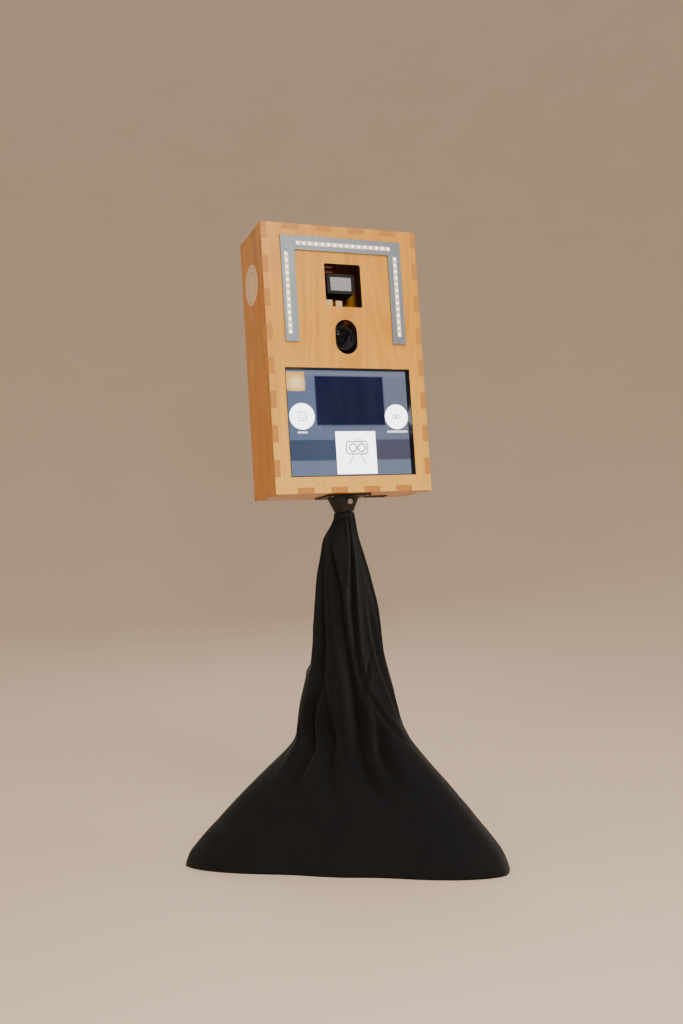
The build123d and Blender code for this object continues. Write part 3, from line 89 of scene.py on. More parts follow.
# ---------------------------------------------------------------- node trees
class Tree:
    """Makes the nodes of one material or node group, sets their inputs and joins them."""

    def __init__(self, nodes: bpy.types.NodeTree) -> None:
        """Keeps the tree that the nodes go into."""
        self.nodes = nodes

    def feed(self, target: Socket, value: Any) -> None:
        """Joins a socket to target, or sets target to a plain value."""
        if isinstance(value, bpy.types.NodeSocket):
            self.nodes.links.new(value, target)
        else:
            target.default_value = value

    def feed_all(self, node: bpy.types.Node, inputs: Mapping[Any, Any]) -> None:
        """Feeds several inputs of a node, by their names or numbers."""
        for name, value in inputs.items():
            self.feed(node.inputs[name], value)

    def add(self, kind: str, inputs: Mapping[Any, Any] | None = None, **settings: Any) -> bpy.types.Node:
        """Makes a node.

        Args:
            kind: The node's type, without the ShaderNode in front.
            inputs: Socket names or numbers, with a socket or a value for each.
            settings: The node's own settings.

        Returns:
            The new node.
        """
        node = self.nodes.nodes.new("ShaderNode" + kind)
        for name, value in settings.items():
            setattr(node, name, value)
        self.feed_all(node, inputs or {})
        return node

    def calc(self, operation: str, *values: Any, clamp: bool = False) -> Socket:
        """The result of one Math node over sockets or numbers."""
        return self.add("Math", dict(enumerate(values)), operation=operation, use_clamp=clamp).outputs[0]

    def span(self, value: Any, low: float, high: float, to_low: float = 0.0, to_high: float = 1.0) -> Socket:
        """Maps low..high to to_low..to_high, held at the ends."""
        return self.add("MapRange", {0: value, 1: low, 2: high, 3: to_low, 4: to_high}).outputs[0]

    def plus(self, first: Any, second: Any, clamp: bool = False) -> Socket:
        """The sum of two values."""
        return self.calc("ADD", first, second, clamp=clamp)

    def minus(self, first: Any, second: Any, clamp: bool = False) -> Socket:
        """The first value less the second."""
        return self.calc("SUBTRACT", first, second, clamp=clamp)

    def times(self, first: Any, second: Any, clamp: bool = False) -> Socket:
        """The product of two values."""
        return self.calc("MULTIPLY", first, second, clamp=clamp)

    def mix(self, share: Any, first: Any, second: Any) -> Socket:
        """A colour between first and second."""
        return self.add("Mix", {0: share, 6: first, 7: second}, data_type="RGBA").outputs[2]

    def choose(self, share: Any, first: Any, second: Any) -> Socket:
        """A number between first and second."""
        return self.add("Mix", {0: share, 2: first, 3: second}, data_type="FLOAT").outputs[0]

    def place(self) -> Socket:
        """Each point's place in the object's own frame."""
        return self.add("TexCoord").outputs["Object"]

    def noise(self, vector: Socket, scale: float, detail: float = 2.0, rough: float = 0.5) -> Socket:
        """Smooth random values, 0 to 1, over a vector."""
        inputs = {"Vector": vector, "Scale": scale, "Detail": detail, "Roughness": rough}
        return self.add("TexNoise", inputs).outputs[0]

    def stretch(self, vector: Socket, scale: Sequence[float], turn: Sequence[float] = (0, 0, 0)) -> Socket:
        """A vector turned and scaled along each axis."""
        return self.add("Mapping", {"Vector": vector, "Rotation": turn, "Scale": scale}).outputs[0]

    def split(self, vector: Socket) -> tuple[Socket, Socket, Socket]:
        """The three parts of a vector."""
        outputs = self.add("SeparateXYZ", {0: vector}).outputs
        return outputs[0], outputs[1], outputs[2]

    def use(self, group: bpy.types.NodeTree, inputs: Mapping[Any, Any]) -> bpy.types.Node:
        """Places a node group."""
        node = self.nodes.nodes.new("ShaderNodeGroup")
        node.node_tree = group
        self.feed_all(node, inputs)
        return node


@dataclass(frozen=True)
class Port:
    """One named socket of a node group."""

    name: str
    kind: str = "Float"
    value: Any = None


def make_group(name: str, inputs: Sequence[Port], outputs: Sequence[Port],
               fill: Callable[[Tree, Any, Any], None]) -> bpy.types.NodeTree:
    """A node group, made the first time it is asked for.

    Args:
        name: The group's name.
        inputs: Its input sockets.
        outputs: Its output sockets.
        fill: Makes the nodes between the group's input and output nodes.

    Returns:
        The group.
    """
    found = bpy.data.node_groups.get(name)
    if found is not None:
        return found
    group = bpy.data.node_groups.new(name, "ShaderNodeTree")
    for port in inputs:
        socket = group.interface.new_socket(port.name, in_out="INPUT", socket_type="NodeSocket" + port.kind)
        if port.value is not None:
            socket.default_value = port.value
    for port in outputs:
        group.interface.new_socket(port.name, in_out="OUTPUT", socket_type="NodeSocket" + port.kind)
    start = group.nodes.new("NodeGroupInput")
    end = group.nodes.new("NodeGroupOutput")
    fill(Tree(group), start.outputs, end.inputs)
    return group


def edge_wear() -> bpy.types.NodeTree:
    """Softened edges: the normal of a small round, and a patchy mask along the edges."""
    def fill(tree: Tree, given: Any, out: Any) -> None:
        """The mask is how far the rounded normal leans from the face's own, broken up by noise."""
        round_normal = tree.add("Bevel", {"Radius": given["Radius"]}, samples=4).outputs[0]
        face_normal = tree.add("NewGeometry").outputs["Normal"]
        both = {0: round_normal, 1: face_normal}
        lean = tree.add("VectorMath", both, operation="DOT_PRODUCT").outputs["Value"]
        place = tree.place()
        patches = tree.span(tree.noise(place, 90.0, 3.0), 0.35, 0.65)
        strength = tree.span(tree.minus(1.0, lean), 0.01, 0.25)
        tree.feed(out["Worn"], tree.times(strength, patches, clamp=True))
        tree.feed(out["Normal"], round_normal)
    outputs = [Port("Worn"), Port("Normal", "Vector")]
    return make_group("edge_wear", [Port("Radius", value=0.0006)], outputs, fill)


def wood_grain() -> bpy.types.NodeTree:
    """Veneer whose grain runs along the Z of the vector it is given."""
    def fill(tree: Tree, given: Any, out: Any) -> None:
        """Figure is a sine of a stretched noise field; fibres and pores are much finer stretched noises."""
        place = given["Vector"]
        field_ = tree.noise(tree.stretch(place, (7.0, 7.0, 0.9)), 1.0, 2.0, 0.45)
        rings = tree.calc("SINE", tree.times(field_, 95.0))
        soft = tree.noise(tree.stretch(place, (34.0, 34.0, 2.2)), 1.0, 3.0, 0.6)
        figure = tree.plus(tree.times(rings, 0.16), tree.times(soft, 0.9))
        clouds = tree.noise(place, 11.0, 3.0, 0.55)
        fibre = tree.noise(tree.stretch(place, (900.0, 900.0, 16.0)), 1.0, 3.0, 0.65)
        pore_field = tree.noise(tree.stretch(place, (1500.0, 1500.0, 95.0)), 1.0, 1.0)
        pores = tree.times(tree.span(pore_field, 0.66, 0.74), tree.span(soft, 0.35, 0.6, 0.3, 1.0))
        tree.feed(out["Figure"], tree.plus(figure, 0.0, clamp=True))
        tree.feed(out["Clouds"], tree.span(clouds, 0.3, 0.7))
        tree.feed(out["Fibre"], fibre)
        tree.feed(out["Pores"], pores)
        tree.feed(out["Height"], tree.minus(tree.times(fibre, 0.5), pores))
    outputs = [Port("Figure"), Port("Clouds"), Port("Fibre"), Port("Pores"), Port("Height")]
    return make_group("wood_grain", [Port("Vector", "Vector")], outputs, fill)


def ply_layers() -> bpy.types.NodeTree:
    """The layers seen on a plywood sheet's edge, every other one end grain."""
    def fill(tree: Tree, given: Any, out: Any) -> None:
        """Dark is a softened square wave through the sheet's thickness, with end-grain specks in it."""
        wander = tree.times(tree.noise(given["Vector"], 60.0, 2.0), 0.0005)
        depth = tree.plus(given["Across"], wander)
        wave = tree.calc("SINE", tree.times(depth, math.pi / PLY_LAYER))
        band = tree.span(wave, -0.25, 0.25)
        specks = tree.span(tree.noise(given["Vector"], 1700.0, 2.0), 0.4, 0.7)
        streak = tree.noise(tree.stretch(given["Vector"], (240.0, 240.0, 240.0)), 1.0, 3.0)
        dark = tree.times(band, tree.plus(0.45, tree.times(specks, 0.55)))
        tree.feed(out["Dark"], tree.plus(dark, tree.span(streak, 0.45, 0.8, 0.0, 0.25), clamp=True))
        tree.feed(out["Height"], tree.minus(tree.times(band, -0.6), specks))
    inputs = [Port("Vector", "Vector"), Port("Across")]
    return make_group("ply_layers", inputs, [Port("Dark"), Port("Height")], fill)


def fine_surface() -> bpy.types.NodeTree:
    """Broad and fine variation of a moulded, painted or cast surface, in object coordinates."""
    def fill(tree: Tree, given: Any, out: Any) -> None:
        """Broad is slow noise, Grain is noise at the given scale, Scuffs are thin stretched marks."""
        place = tree.place()
        grain = tree.add("TexNoise", {"Vector": place, "Scale": given["Scale"], "Detail": 2.0}).outputs[0]
        marks = tree.noise(tree.stretch(place, (900.0, 60.0, 60.0), (0.5, 0.9, 0.4)), 1.0, 1.0)
        tree.feed(out["Broad"], tree.span(tree.noise(place, 14.0, 4.0, 0.6), 0.3, 0.7))
        tree.feed(out["Grain"], grain)
        tree.feed(out["Scuffs"], tree.span(marks, 0.68, 0.75))
    outputs = [Port("Broad"), Port("Grain"), Port("Scuffs")]
    return make_group("fine_surface", [Port("Scale", value=900.0)], outputs, fill)


def brushed_lines() -> bpy.types.NodeTree:
    """Fine parallel lines along the Z of the vector it is given."""
    def fill(tree: Tree, given: Any, out: Any) -> None:
        """Two noises stretched a hundred times along Z."""
        coarse = tree.noise(tree.stretch(given["Vector"], (700.0, 700.0, 7.0)), 1.0, 2.0)
        fine = tree.noise(tree.stretch(given["Vector"], (2600.0, 2600.0, 26.0)), 1.0, 2.0)
        tree.feed(out["Lines"], tree.calc("MULTIPLY_ADD", coarse, 0.5, tree.times(fine, 0.5)))
    return make_group("brushed_lines", [Port("Vector", "Vector")], [Port("Lines")], fill)


def weave() -> bpy.types.NodeTree:
    """Plain weave over a flat vector in metres."""
    def fill(tree: Tree, given: Any, out: Any) -> None:
        """Height is the larger of two crossing thread waves, each bobbing over and under the other."""
        u, v, _ = tree.split(given["Vector"])
        across = tree.calc("SINE", tree.times(u, given["Threads"]))
        along = tree.calc("SINE", tree.times(v, given["Threads"]))
        bob = tree.times(across, along)
        warp = tree.plus(tree.calc("ABSOLUTE", across), bob)
        weft = tree.minus(tree.calc("ABSOLUTE", along), bob)
        thread = tree.calc("MAXIMUM", warp, weft)
        slub = tree.noise(tree.stretch(given["Vector"], (2200.0, 90.0, 1.0)), 1.0, 2.0)
        tree.feed(out["Height"], tree.calc("MULTIPLY_ADD", slub, 0.5, tree.times(thread, 0.5)))
        tree.feed(out["Slub"], slub)
    inputs = [Port("Vector", "Vector"), Port("Threads", value=7000.0)]
    return make_group("weave", inputs, [Port("Height"), Port("Slub")], fill)


def rectangle_mask() -> bpy.types.NodeTree:
    """A filled rectangle with rounded corners, or its outline, on two coordinates."""
    def fill(tree: Tree, given: Any, out: Any) -> None:
        """Distance to the rounded rectangle, below Line where it is drawn; Line 0 fills it."""
        dx = tree.calc("ABSOLUTE", tree.minus(given["U"], given["Mid U"]))
        dz = tree.calc("ABSOLUTE", tree.minus(given["V"], given["Mid V"]))
        qx = tree.minus(tree.plus(dx, given["Corner"]), given["Half U"])
        qz = tree.minus(tree.plus(dz, given["Corner"]), given["Half V"])
        ox = tree.calc("MAXIMUM", qx, 0.0)
        oz = tree.calc("MAXIMUM", qz, 0.0)
        length = tree.calc("SQRT", tree.plus(tree.times(ox, ox), tree.times(oz, oz)))
        inner = tree.calc("MINIMUM", tree.calc("MAXIMUM", qx, qz), 0.0)
        distance = tree.minus(tree.plus(length, inner), given["Corner"])
        outline = tree.minus(tree.calc("ABSOLUTE", distance), given["Line"])
        is_line = tree.calc("GREATER_THAN", given["Line"], 0.0)
        chosen = tree.choose(is_line, distance, outline)
        soft = tree.calc("DIVIDE", chosen, given["Soft"])
        tree.feed(out["Mask"], tree.minus(0.5, soft, clamp=True))
    names = ("U", "V", "Mid U", "Mid V", "Half U", "Half V", "Corner", "Line")
    inputs = [Port(n, value=0.0) for n in names] + [Port("Soft", value=0.0006)]
    return make_group("rectangle_mask", inputs, [Port("Mask")], fill)


def dust_mask() -> bpy.types.NodeTree:
    """Dust that settles on faces that look up, in patches."""
    def fill(tree: Tree, given: Any, out: Any) -> None:
        """How far the object's own normal points up, times slow noise and fine specks."""
        coordinates = tree.add("TexCoord").outputs
        up = tree.span(tree.split(coordinates["Normal"])[2], 0.5, 0.95)
        patches = tree.span(tree.noise(coordinates["Object"], 22.0, 4.0), 0.35, 0.75)
        specks = tree.span(tree.noise(coordinates["Object"], 1400.0, 1.0), 0.45, 0.7, 0.4, 1.0)
        amount = tree.times(tree.times(up, patches), specks)
        tree.feed(out["Mask"], tree.times(amount, given["Amount"], clamp=True))
    return make_group("dust_mask", [Port("Amount", value=0.3)], [Port("Mask")], fill)


# ---------------------------------------------------------------- finishes
def new_material(name: str) -> tuple[bpy.types.Material, Tree, bpy.types.Node]:
    """An empty material with a Principled BSDF on its output.

    Args:
        name: The material's name.

    Returns:
        The material, its tree and the Principled BSDF.
    """
    material = bpy.data.materials.new(name)
    material.use_nodes = True
    material.node_tree.nodes.clear()
    tree = Tree(material.node_tree)
    shader = tree.add("BsdfPrincipled")
    tree.add("OutputMaterial", {"Surface": shader.outputs[0]})
    return material, tree, shader


def bump(tree: Tree, height: Socket, depth: float, normal: Socket | None = None) -> Socket:
    """A Bump node's normal for a height of 0 to 1 that stands for depth metres."""
    inputs = {"Height": height, "Distance": depth, "Strength": 1.0}
    if normal is not None:
        inputs["Normal"] = normal
    return tree.add("Bump", inputs).outputs[0]


@dataclass(frozen=True)
class Plywood:
    """Varnished plywood, with veneer on its two faces and layers on its edges."""

    name: str
    sheet: Axis
    grain: Axis
    light: Colour = tone(222, 160, 44)
    mid: Colour = tone(208, 144, 34)
    dark: Colour = tone(184, 116, 22)
    edge_light: Colour = tone(198, 134, 44)
    edge_dark: Colour = tone(146, 88, 24)
    gloss: float = 0.38
    black_cuts: bool = False
    # Heights in metres over which painted light makes the veneer paler towards the lower one.
    painted_light_heights: tuple[float, float] | None = None

    def make(self) -> bpy.types.Material:
        """Veneer where the sheet faces out, layers on its edges, and if asked black paint on cut-out walls and
        painted light, paler towards the bottom.
        """
        material, tree, shader = new_material(self.name)
        coordinates = tree.add("TexCoord").outputs
        parts = tree.split(coordinates["Object"])
        order = [i for i in range(3) if i != self.grain.value] + [self.grain.value]
        place = tree.add("CombineXYZ", {k: parts[i] for k, i in enumerate(order)}).outputs[0]
        grain = tree.use(wood_grain(), {"Vector": place}).outputs
        through = {"Vector": coordinates["Object"], "Across": parts[self.sheet.value]}
        layers = tree.use(ply_layers(), through).outputs
        wear = tree.use(edge_wear(), {"Radius": 0.0007}).outputs

        face = tree.mix(tree.span(grain["Figure"], 0.25, 0.85, 0.0, 0.9), self.light, self.dark)
        face = tree.mix(tree.times(grain["Clouds"], 0.6), face, self.mid)
        # Painted light: below the given heights the veneer is mixed towards a pale tone, up to half way at the
        # lower one.
        if self.painted_light_heights is not None:
            low, high = self.painted_light_heights
            glow = tree.span(parts[Axis.Z.value], low, high, 0.5, 0.0)
            face = tree.mix(glow, face, tone(250, 206, 104))
        face = tree.mix(tree.span(grain["Fibre"], 0.35, 0.7, 0.0, 0.26), face, self.dark)
        face = tree.mix(tree.times(grain["Pores"], 0.5), face, tone(120, 70, 24))
        edge = tree.mix(layers["Dark"], self.edge_light, self.edge_dark)

        facing = tree.calc("ABSOLUTE", tree.split(coordinates["Normal"])[self.sheet.value])
        is_face = tree.span(facing, 0.4, 0.6)
        colour = tree.mix(is_face, edge, face)
        colour = tree.mix(tree.times(wear["Worn"], 0.5), colour, self.edge_dark)
        height = tree.choose(is_face, layers["Height"], grain["Height"])
        rough = tree.span(grain["Clouds"], 0.0, 1.0, self.gloss - 0.06, self.gloss + 0.1)
        rough = tree.plus(rough, tree.times(tree.minus(1.0, is_face), 0.2))
        if self.black_cuts:
            painted = self.cut_walls(tree, parts, facing)
            colour = tree.mix(painted, colour, tone(5, 5, 5))
            rough = tree.plus(rough, tree.times(painted, 0.12))
        dust = tree.use(dust_mask(), {"Amount": 0.22}).outputs["Mask"]
        colour = tree.mix(dust, colour, WOOD_DUST)
        tree.feed_all(shader, {"Base Color": colour, "Roughness": rough, "Coat Weight": 0.25,
                               "Coat Roughness": 0.22, "Normal": bump(tree, height, 0.00006, wear["Normal"])})
        return material

    @staticmethod
    def cut_walls(tree: Tree, parts: Sequence[Socket], facing: Socket) -> Socket:
        """A mask of the walls of the openings: edge faces that lie well inside the sheet's outline."""
        low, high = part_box("front_panel")
        middle = (low.z + high.z) / 2
        inside_x = tree.calc("LESS_THAN", tree.calc("ABSOLUTE", parts[0]), high.x - 0.02)
        from_middle = tree.calc("ABSOLUTE", tree.minus(parts[2], middle))
        inside_z = tree.calc("LESS_THAN", from_middle, (high.z - low.z) / 2 - 0.02)
        is_wall = tree.calc("LESS_THAN", facing, 0.5)
        return tree.times(tree.times(inside_x, inside_z), is_wall)


@dataclass(frozen=True)
class Moulded:
    """Plastic, rubber or powder coat: one colour with grain, scuffs, dust and worn edges."""

    name: str
    colour: Colour
    worn: Colour
    rough: float = 0.5
    grain: float = 900.0
    depth: float = 0.00005
    dust: float = 0.3
    radius: float = 0.0006
    wear: float = 0.35
    coat: float = 0.0

    def make(self) -> bpy.types.Material:
        """Colour with broad variation, roughness from grain and scuffs, bump from the grain."""
        material, tree, shader = new_material(self.name)
        surface = tree.use(fine_surface(), {"Scale": self.grain}).outputs
        wear = tree.use(edge_wear(), {"Radius": self.radius}).outputs
        dust = tree.use(dust_mask(), {"Amount": self.dust}).outputs["Mask"]
        colour = tree.mix(tree.times(surface["Broad"], 0.18), self.colour, self.worn)
        colour = tree.mix(tree.times(wear["Worn"], self.wear), colour, self.worn)
        colour = tree.mix(tree.times(surface["Scuffs"], 0.2), colour, self.worn)
        colour = tree.mix(dust, colour, DUST)
        rough = tree.span(surface["Grain"], 0.3, 0.7, self.rough - 0.08, self.rough + 0.08)
        rough = tree.plus(rough, tree.times(surface["Broad"], 0.08))
        tree.feed_all(shader, {"Base Color": colour, "Roughness": tree.plus(rough, dust, clamp=True),
                               "Normal": bump(tree, surface["Grain"], self.depth, wear["Normal"]),
                               "Specular IOR Level": 0.3, "Coat Weight": self.coat})
        return material


@dataclass(frozen=True)
class BrushedMetal:
    """Bare or plated metal with fine lines along one axis."""

    name: str
    colour: Colour
    along: Axis
    rough: float = 0.34
    depth: float = 0.00002
    stain: Colour = tone(120, 118, 114)
    radius: float = 0.0004

    def make(self) -> bpy.types.Material:
        """Metal whose colour, roughness and bump follow the brushing, duller in patches."""
        material, tree, shader = new_material(self.name)
        place = tree.place()
        parts = tree.split(place)
        order = [i for i in range(3) if i != self.along.value] + [self.along.value]
        turned = tree.add("CombineXYZ", {k: parts[i] for k, i in enumerate(order)}).outputs[0]
        lines = tree.use(brushed_lines(), {"Vector": turned}).outputs["Lines"]
        surface = tree.use(fine_surface(), {"Scale": 600.0}).outputs
        wear = tree.use(edge_wear(), {"Radius": self.radius}).outputs
        colour = tree.mix(tree.span(lines, 0.3, 0.7, 0.0, 0.3), self.colour, self.stain)
        colour = tree.mix(tree.times(surface["Broad"], 0.25), colour, self.stain)
        colour = tree.mix(tree.times(wear["Worn"], 0.4), colour, tone(226, 226, 224))
        rough = tree.span(lines, 0.25, 0.75, self.rough - 0.08, self.rough + 0.12)
        rough = tree.plus(rough, tree.times(surface["Broad"], 0.08))
        tree.feed_all(shader, {"Base Color": colour, "Roughness": rough, "Metallic": 1.0,
                               "Normal": bump(tree, lines, self.depth, wear["Normal"])})
        return material


@dataclass(frozen=True)
class ClearGlass:
    """Glass with faint smears."""

    name: str
    tint: Colour = (1.0, 1.0, 1.0, 1.0)
    rough: float = 0.03
    index: float = 1.45

    def make(self) -> bpy.types.Material:
        """Transmission with roughness from smears."""
        material, tree, shader = new_material(self.name)
        place = tree.place()
        streaks = tree.stretch(place, (30.0, 30.0, 12.0), (0.0, 0.6, 0.0))
        smears = tree.span(tree.noise(streaks, 1.0, 4.0), 0.5, 0.8)
        tree.feed_all(shader, {"Roughness": tree.calc("MULTIPLY_ADD", smears, 0.07, self.rough),
                               "Base Color": tree.mix(smears, self.tint, (0.93, 0.94, 0.95, 1.0)),
                               "Transmission Weight": 1.0, "IOR": self.index})
        return material


@dataclass(frozen=True)
class LampAndPaintedGlow:
    """A lit diode or its strip, and also a part that is no lamp given a painted glow: white with a soft
    pattern along it.
    """

    name: str
    colour: Colour
    glow: Colour
    strength: float
    patch: float = 500.0

    def make(self) -> bpy.types.Material:
        """Emission that varies a little from place to place over a rough plastic."""
        material, tree, shader = new_material(self.name)
        place = tree.place()
        spots = tree.span(tree.noise(place, self.patch, 2.0), 0.3, 0.7)
        tree.feed_all(shader, {"Base Color": tree.mix(spots, self.colour, tone(196, 190, 176)),
                               "Emission Color": tree.mix(spots, self.glow, tone(235, 224, 200)),
                               "Roughness": tree.span(spots, 0.0, 1.0, 0.35, 0.55),
                               "Normal": bump(tree, spots, 0.00005), "Emission Strength": self.strength})
        return material


@dataclass(frozen=True)
class ClothFinish:
    """Dark woven cloth with a low sheen, over the piece's own UV map in metres."""

    name: str
    colour: Colour
    lit: Colour
    rough: float = 0.62
    sheen: float = 0.05
    threads: float = 7000.0

    def make(self) -> bpy.types.Material:
        """Weave and slubs in colour and bump, lint specks, soft creases, and painted shade that darkens the
        folds.
        """
        material, tree, shader = new_material(self.name)
        coordinates = tree.add("TexCoord").outputs
        cloth = tree.use(weave(), {"Vector": coordinates["UV"], "Threads": self.threads}).outputs
        broad = tree.span(tree.noise(coordinates["Object"], 9.0, 4.0), 0.35, 0.7)
        lint = tree.span(tree.noise(coordinates["Object"], 850.0, 1.0), 0.76, 0.8)
        fold = tree.add("Attribute", attribute_name="fold").outputs["Fac"]
        rumple = tree.noise(tree.stretch(coordinates["Object"], (26.0, 26.0, 70.0)), 1.0, 4.0, 0.6)
        colour = tree.mix(tree.span(cloth["Slub"], 0.3, 0.8, 0.0, 0.6), self.colour, self.lit)
        colour = tree.mix(tree.times(broad, 0.35), colour, self.lit)
        colour = tree.mix(tree.times(lint, 0.35), colour, tone(120, 118, 116))
        # Painted shade: the cloth is darkened almost to black where it lies deep in a fold.
        colour = tree.mix(tree.times(fold, 0.85), colour, (0.0004, 0.0004, 0.0004, 1.0))
        soft = bump(tree, rumple, 0.0022)
        tree.feed_all(shader, {"Base Color": colour, "Normal": bump(tree, cloth["Height"], 0.00022, soft),
                               "Roughness": tree.span(broad, 0.0, 1.0, self.rough - 0.05, self.rough + 0.08),
                               "Sheen Weight": self.sheen, "Sheen Roughness": 0.45,
                               "Specular IOR Level": 0.16})
        return material


@dataclass(frozen=True)
class BadgePrint:
    """A pale round sticker with a plain ring and shutter-blade mark of our own."""

    name: str
    paper: Colour = tone(232, 204, 166)
    ink: Colour = tone(140, 78, 30)

    def make(self) -> bpy.types.Material:
        """Distance from the badge's middle draws two rings, and six blades between them."""
        material, tree, shader = new_material(self.name)
        low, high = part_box("side_badge")
        middle = (low + high) / 2
        parts = tree.split(tree.place())
        y = tree.minus(parts[1], middle.y)
        z = tree.minus(parts[2], middle.z)
        radius = tree.calc("SQRT", tree.plus(tree.times(y, y), tree.times(z, z)))
        turn = tree.calc("ARCTAN2", z, y)
        count, twist, middle_of_blades, half = BADGE_BLADES
        wave = tree.calc("SINE", tree.calc("MULTIPLY_ADD", turn, count, tree.times(radius, twist)))
        blades = tree.times(tree.span(tree.calc("ABSOLUTE", wave), 0.2, 0.1),
                            self.ring(tree, radius, middle_of_blades, half))
        rings = tree.calc("MAXIMUM", *(self.ring(tree, radius, *ring) for ring in BADGE_RINGS))
        ink = tree.calc("MAXIMUM", rings, blades)
        surface = tree.use(fine_surface(), {"Scale": 1200.0}).outputs
        paper = tree.mix(tree.times(surface["Broad"], 0.35), self.paper, tone(212, 184, 150))
        tree.feed_all(shader, {"Base Color": tree.mix(tree.times(ink, 0.75), paper, self.ink),
                               "Roughness": tree.span(surface["Grain"], 0.3, 0.7, 0.42, 0.6),
                               "Normal": bump(tree, surface["Grain"], 0.00003)})
        return material

    @staticmethod
    def ring(tree: Tree, radius: Socket, middle: float, half: float) -> Socket:
        """A mask of the points whose radius is within half of middle."""
        off = tree.calc("ABSOLUTE", tree.minus(radius, middle))
        return tree.span(off, half, half + 0.0004, 1.0, 0.0)


@dataclass(frozen=True)
class Shape:
    """One rounded rectangle of the screen's picture, in millimetres.

    x is from the cabinet's middle and z from its underside.
    """

    x: float
    z: float
    width: float
    height: float
    colour: Colour
    corner: float = 0.0
    line: float = 0.0
    soft: float = 0.7
    share: float = 1.0


def disc(x: float, z: float, diameter: float, colour: Colour, line: float = 0.0, soft: float = 0.9) -> Shape:
    """A round shape: a rectangle whose corners meet."""
    return Shape(x, z, diameter, diameter, colour, diameter / 2, line, soft)


WHITE: Colour = (5.2, 5.2, 5.4, 1.0)
ICON: Colour = (0.05, 0.05, 0.07, 1.0)
DRAWN: Colour = (0.03, 0.025, 0.035, 1.0)
PICTURE: tuple[Shape, ...] = (
    Shape(0, 307, 340, 10, tone(140, 146, 168), soft=8),
    Shape(-85, 111.3, 172, 52.6, tone(76, 92, 120)),
    Shape(120, 111.3, 110, 52.6, tone(94, 92, 114)),
    Shape(0, 60, 340, 50, tone(134, 146, 172), soft=4, share=0.6),
    Shape(9.5, 238.5, 187, 125, tone(4, 14, 66)),
    Shape(9.5, 232, 150, 84, tone(8, 18, 56), 10, soft=50, share=0.8),
    Shape(9.5, 238.5, 187, 125, tone(30, 26, 78), line=2.2, soft=7, share=0.7),
    Shape(-140.3, 287.3, 56.8, 48.6, (1.3, 0.68, 0.16, 1.0)),
    Shape(-134, 283, 28, 22, (2.6, 1.9, 0.9, 1.0), 10, soft=26, share=0.8),
    Shape(-140.3, 287.3, 38, 32, (1.6, 1.1, 0.5, 1.0), 3, 1.4, 3, 0.7),
    disc(-124, 198, 66.6, WHITE, soft=1.6),
    Shape(-124, 198, 22, 22, ICON, 5, 2.6, 2.0, 0.85),
    Shape(-124, 198, 10, 10, ICON, 2, 1.8, 2.0, 0.7),
    disc(137, 197, 64.5, WHITE, soft=1.6),
    Shape(132, 197.5, 12, 9, ICON, 4, 2.4, 2.0, 0.85),
    Shape(142, 197.5, 12, 9, ICON, 4, 2.4, 2.0, 0.85),
    Shape(-125, 157, 27, 4.4, (2.2, 2.3, 2.5, 1.0), 2.2, soft=2.4, share=0.85),
    Shape(137, 158, 58, 5, (2.2, 2.3, 2.5, 1.0), 2.5, soft=2.4, share=0.85),
    Shape(18, 104.3, 110, 109.5, WHITE, soft=1.4),
    Shape(20, 117, 58, 32, DRAWN, 8, 3.6, 2.0, 0.9),
    disc(9, 117, 20, DRAWN, 3.4, 2.0),
    disc(33, 117, 20, DRAWN, 3.4, 2.0),
    Shape(26, 136, 18, 6, DRAWN, 2, 2.0, 2.0, 0.75),
)
LEGS_OF_ICON: tuple[tuple[float, float], ...] = ((8.0, -24.0), (30.0, 24.0))


@dataclass(frozen=True)
class ScreenPicture:
    """The lit picture of the touch screen: plain panels, round buttons and icons of our own."""

    name: str
    base: float
    strength: float = 0.9

    def make(self) -> bpy.types.Material:
        """Lays the shapes over a slate ground, in order, as the colour of the emission."""
        material, tree, shader = new_material(self.name)
        parts = tree.split(tree.place())
        u = parts[0]
        v = tree.minus(parts[2], self.base)
        ground = tree.mix(tree.span(u, -0.17, 0.17), tone(112, 130, 166), tone(128, 134, 156))
        for shape in PICTURE:
            ground = tree.mix(self.mask(tree, u, v, shape), ground, shape.colour)
        for x, lean in LEGS_OF_ICON:
            ground = tree.mix(self.leg(tree, u, v, x, lean), ground, DRAWN)
        clouds = tree.noise(tree.stretch(tree.place(), (9.0, 1.0, 2.0)), 1.0, 2.0)
        ground = tree.mix(tree.span(clouds, 0.4, 0.75, 0.0, 0.04), ground, tone(190, 196, 210))
        rows = tree.calc("SINE", tree.times(v, FULL_TURN / SCREEN_ROW))
        tree.feed_all(shader, {"Emission Color": ground, "Roughness": tree.span(rows, -1.0, 1.0, 0.25, 0.35),
                               "Normal": bump(tree, rows, 0.000002), "Base Color": tone(6, 6, 9),
                               "Specular IOR Level": 0.08, "Emission Strength": self.strength})
        return material

    @staticmethod
    def mask(tree: Tree, u: Socket, v: Socket, shape: Shape) -> Socket:
        """Where one shape covers the picture."""
        inputs = {"U": u, "V": v, "Mid U": shape.x * MM, "Mid V": shape.z * MM,
                  "Half U": shape.width * MM / 2, "Half V": shape.height * MM / 2,
                  "Corner": shape.corner * MM, "Line": shape.line * MM / 2,
                  "Soft": shape.soft * MM}
        mask = tree.use(rectangle_mask(), inputs).outputs["Mask"]
        return tree.times(mask, shape.share)

    @staticmethod
    def leg(tree: Tree, u: Socket, v: Socket, x: float, lean: float) -> Socket:
        """One slanting leg of the middle icon: a sheared thin rectangle below its body."""
        down = tree.minus(0.099, v)
        shear = tree.calc("MULTIPLY_ADD", down, -lean / 48.0, u)
        inputs = {"U": shear, "V": v, "Mid U": (x + 1.0) * MM, "Mid V": 0.086, "Half U": 0.0015,
                  "Half V": 0.013, "Corner": 0.0, "Line": 0.0, "Soft": 0.0024}
        return tree.times(tree.use(rectangle_mask(), inputs).outputs["Mask"], 0.9)


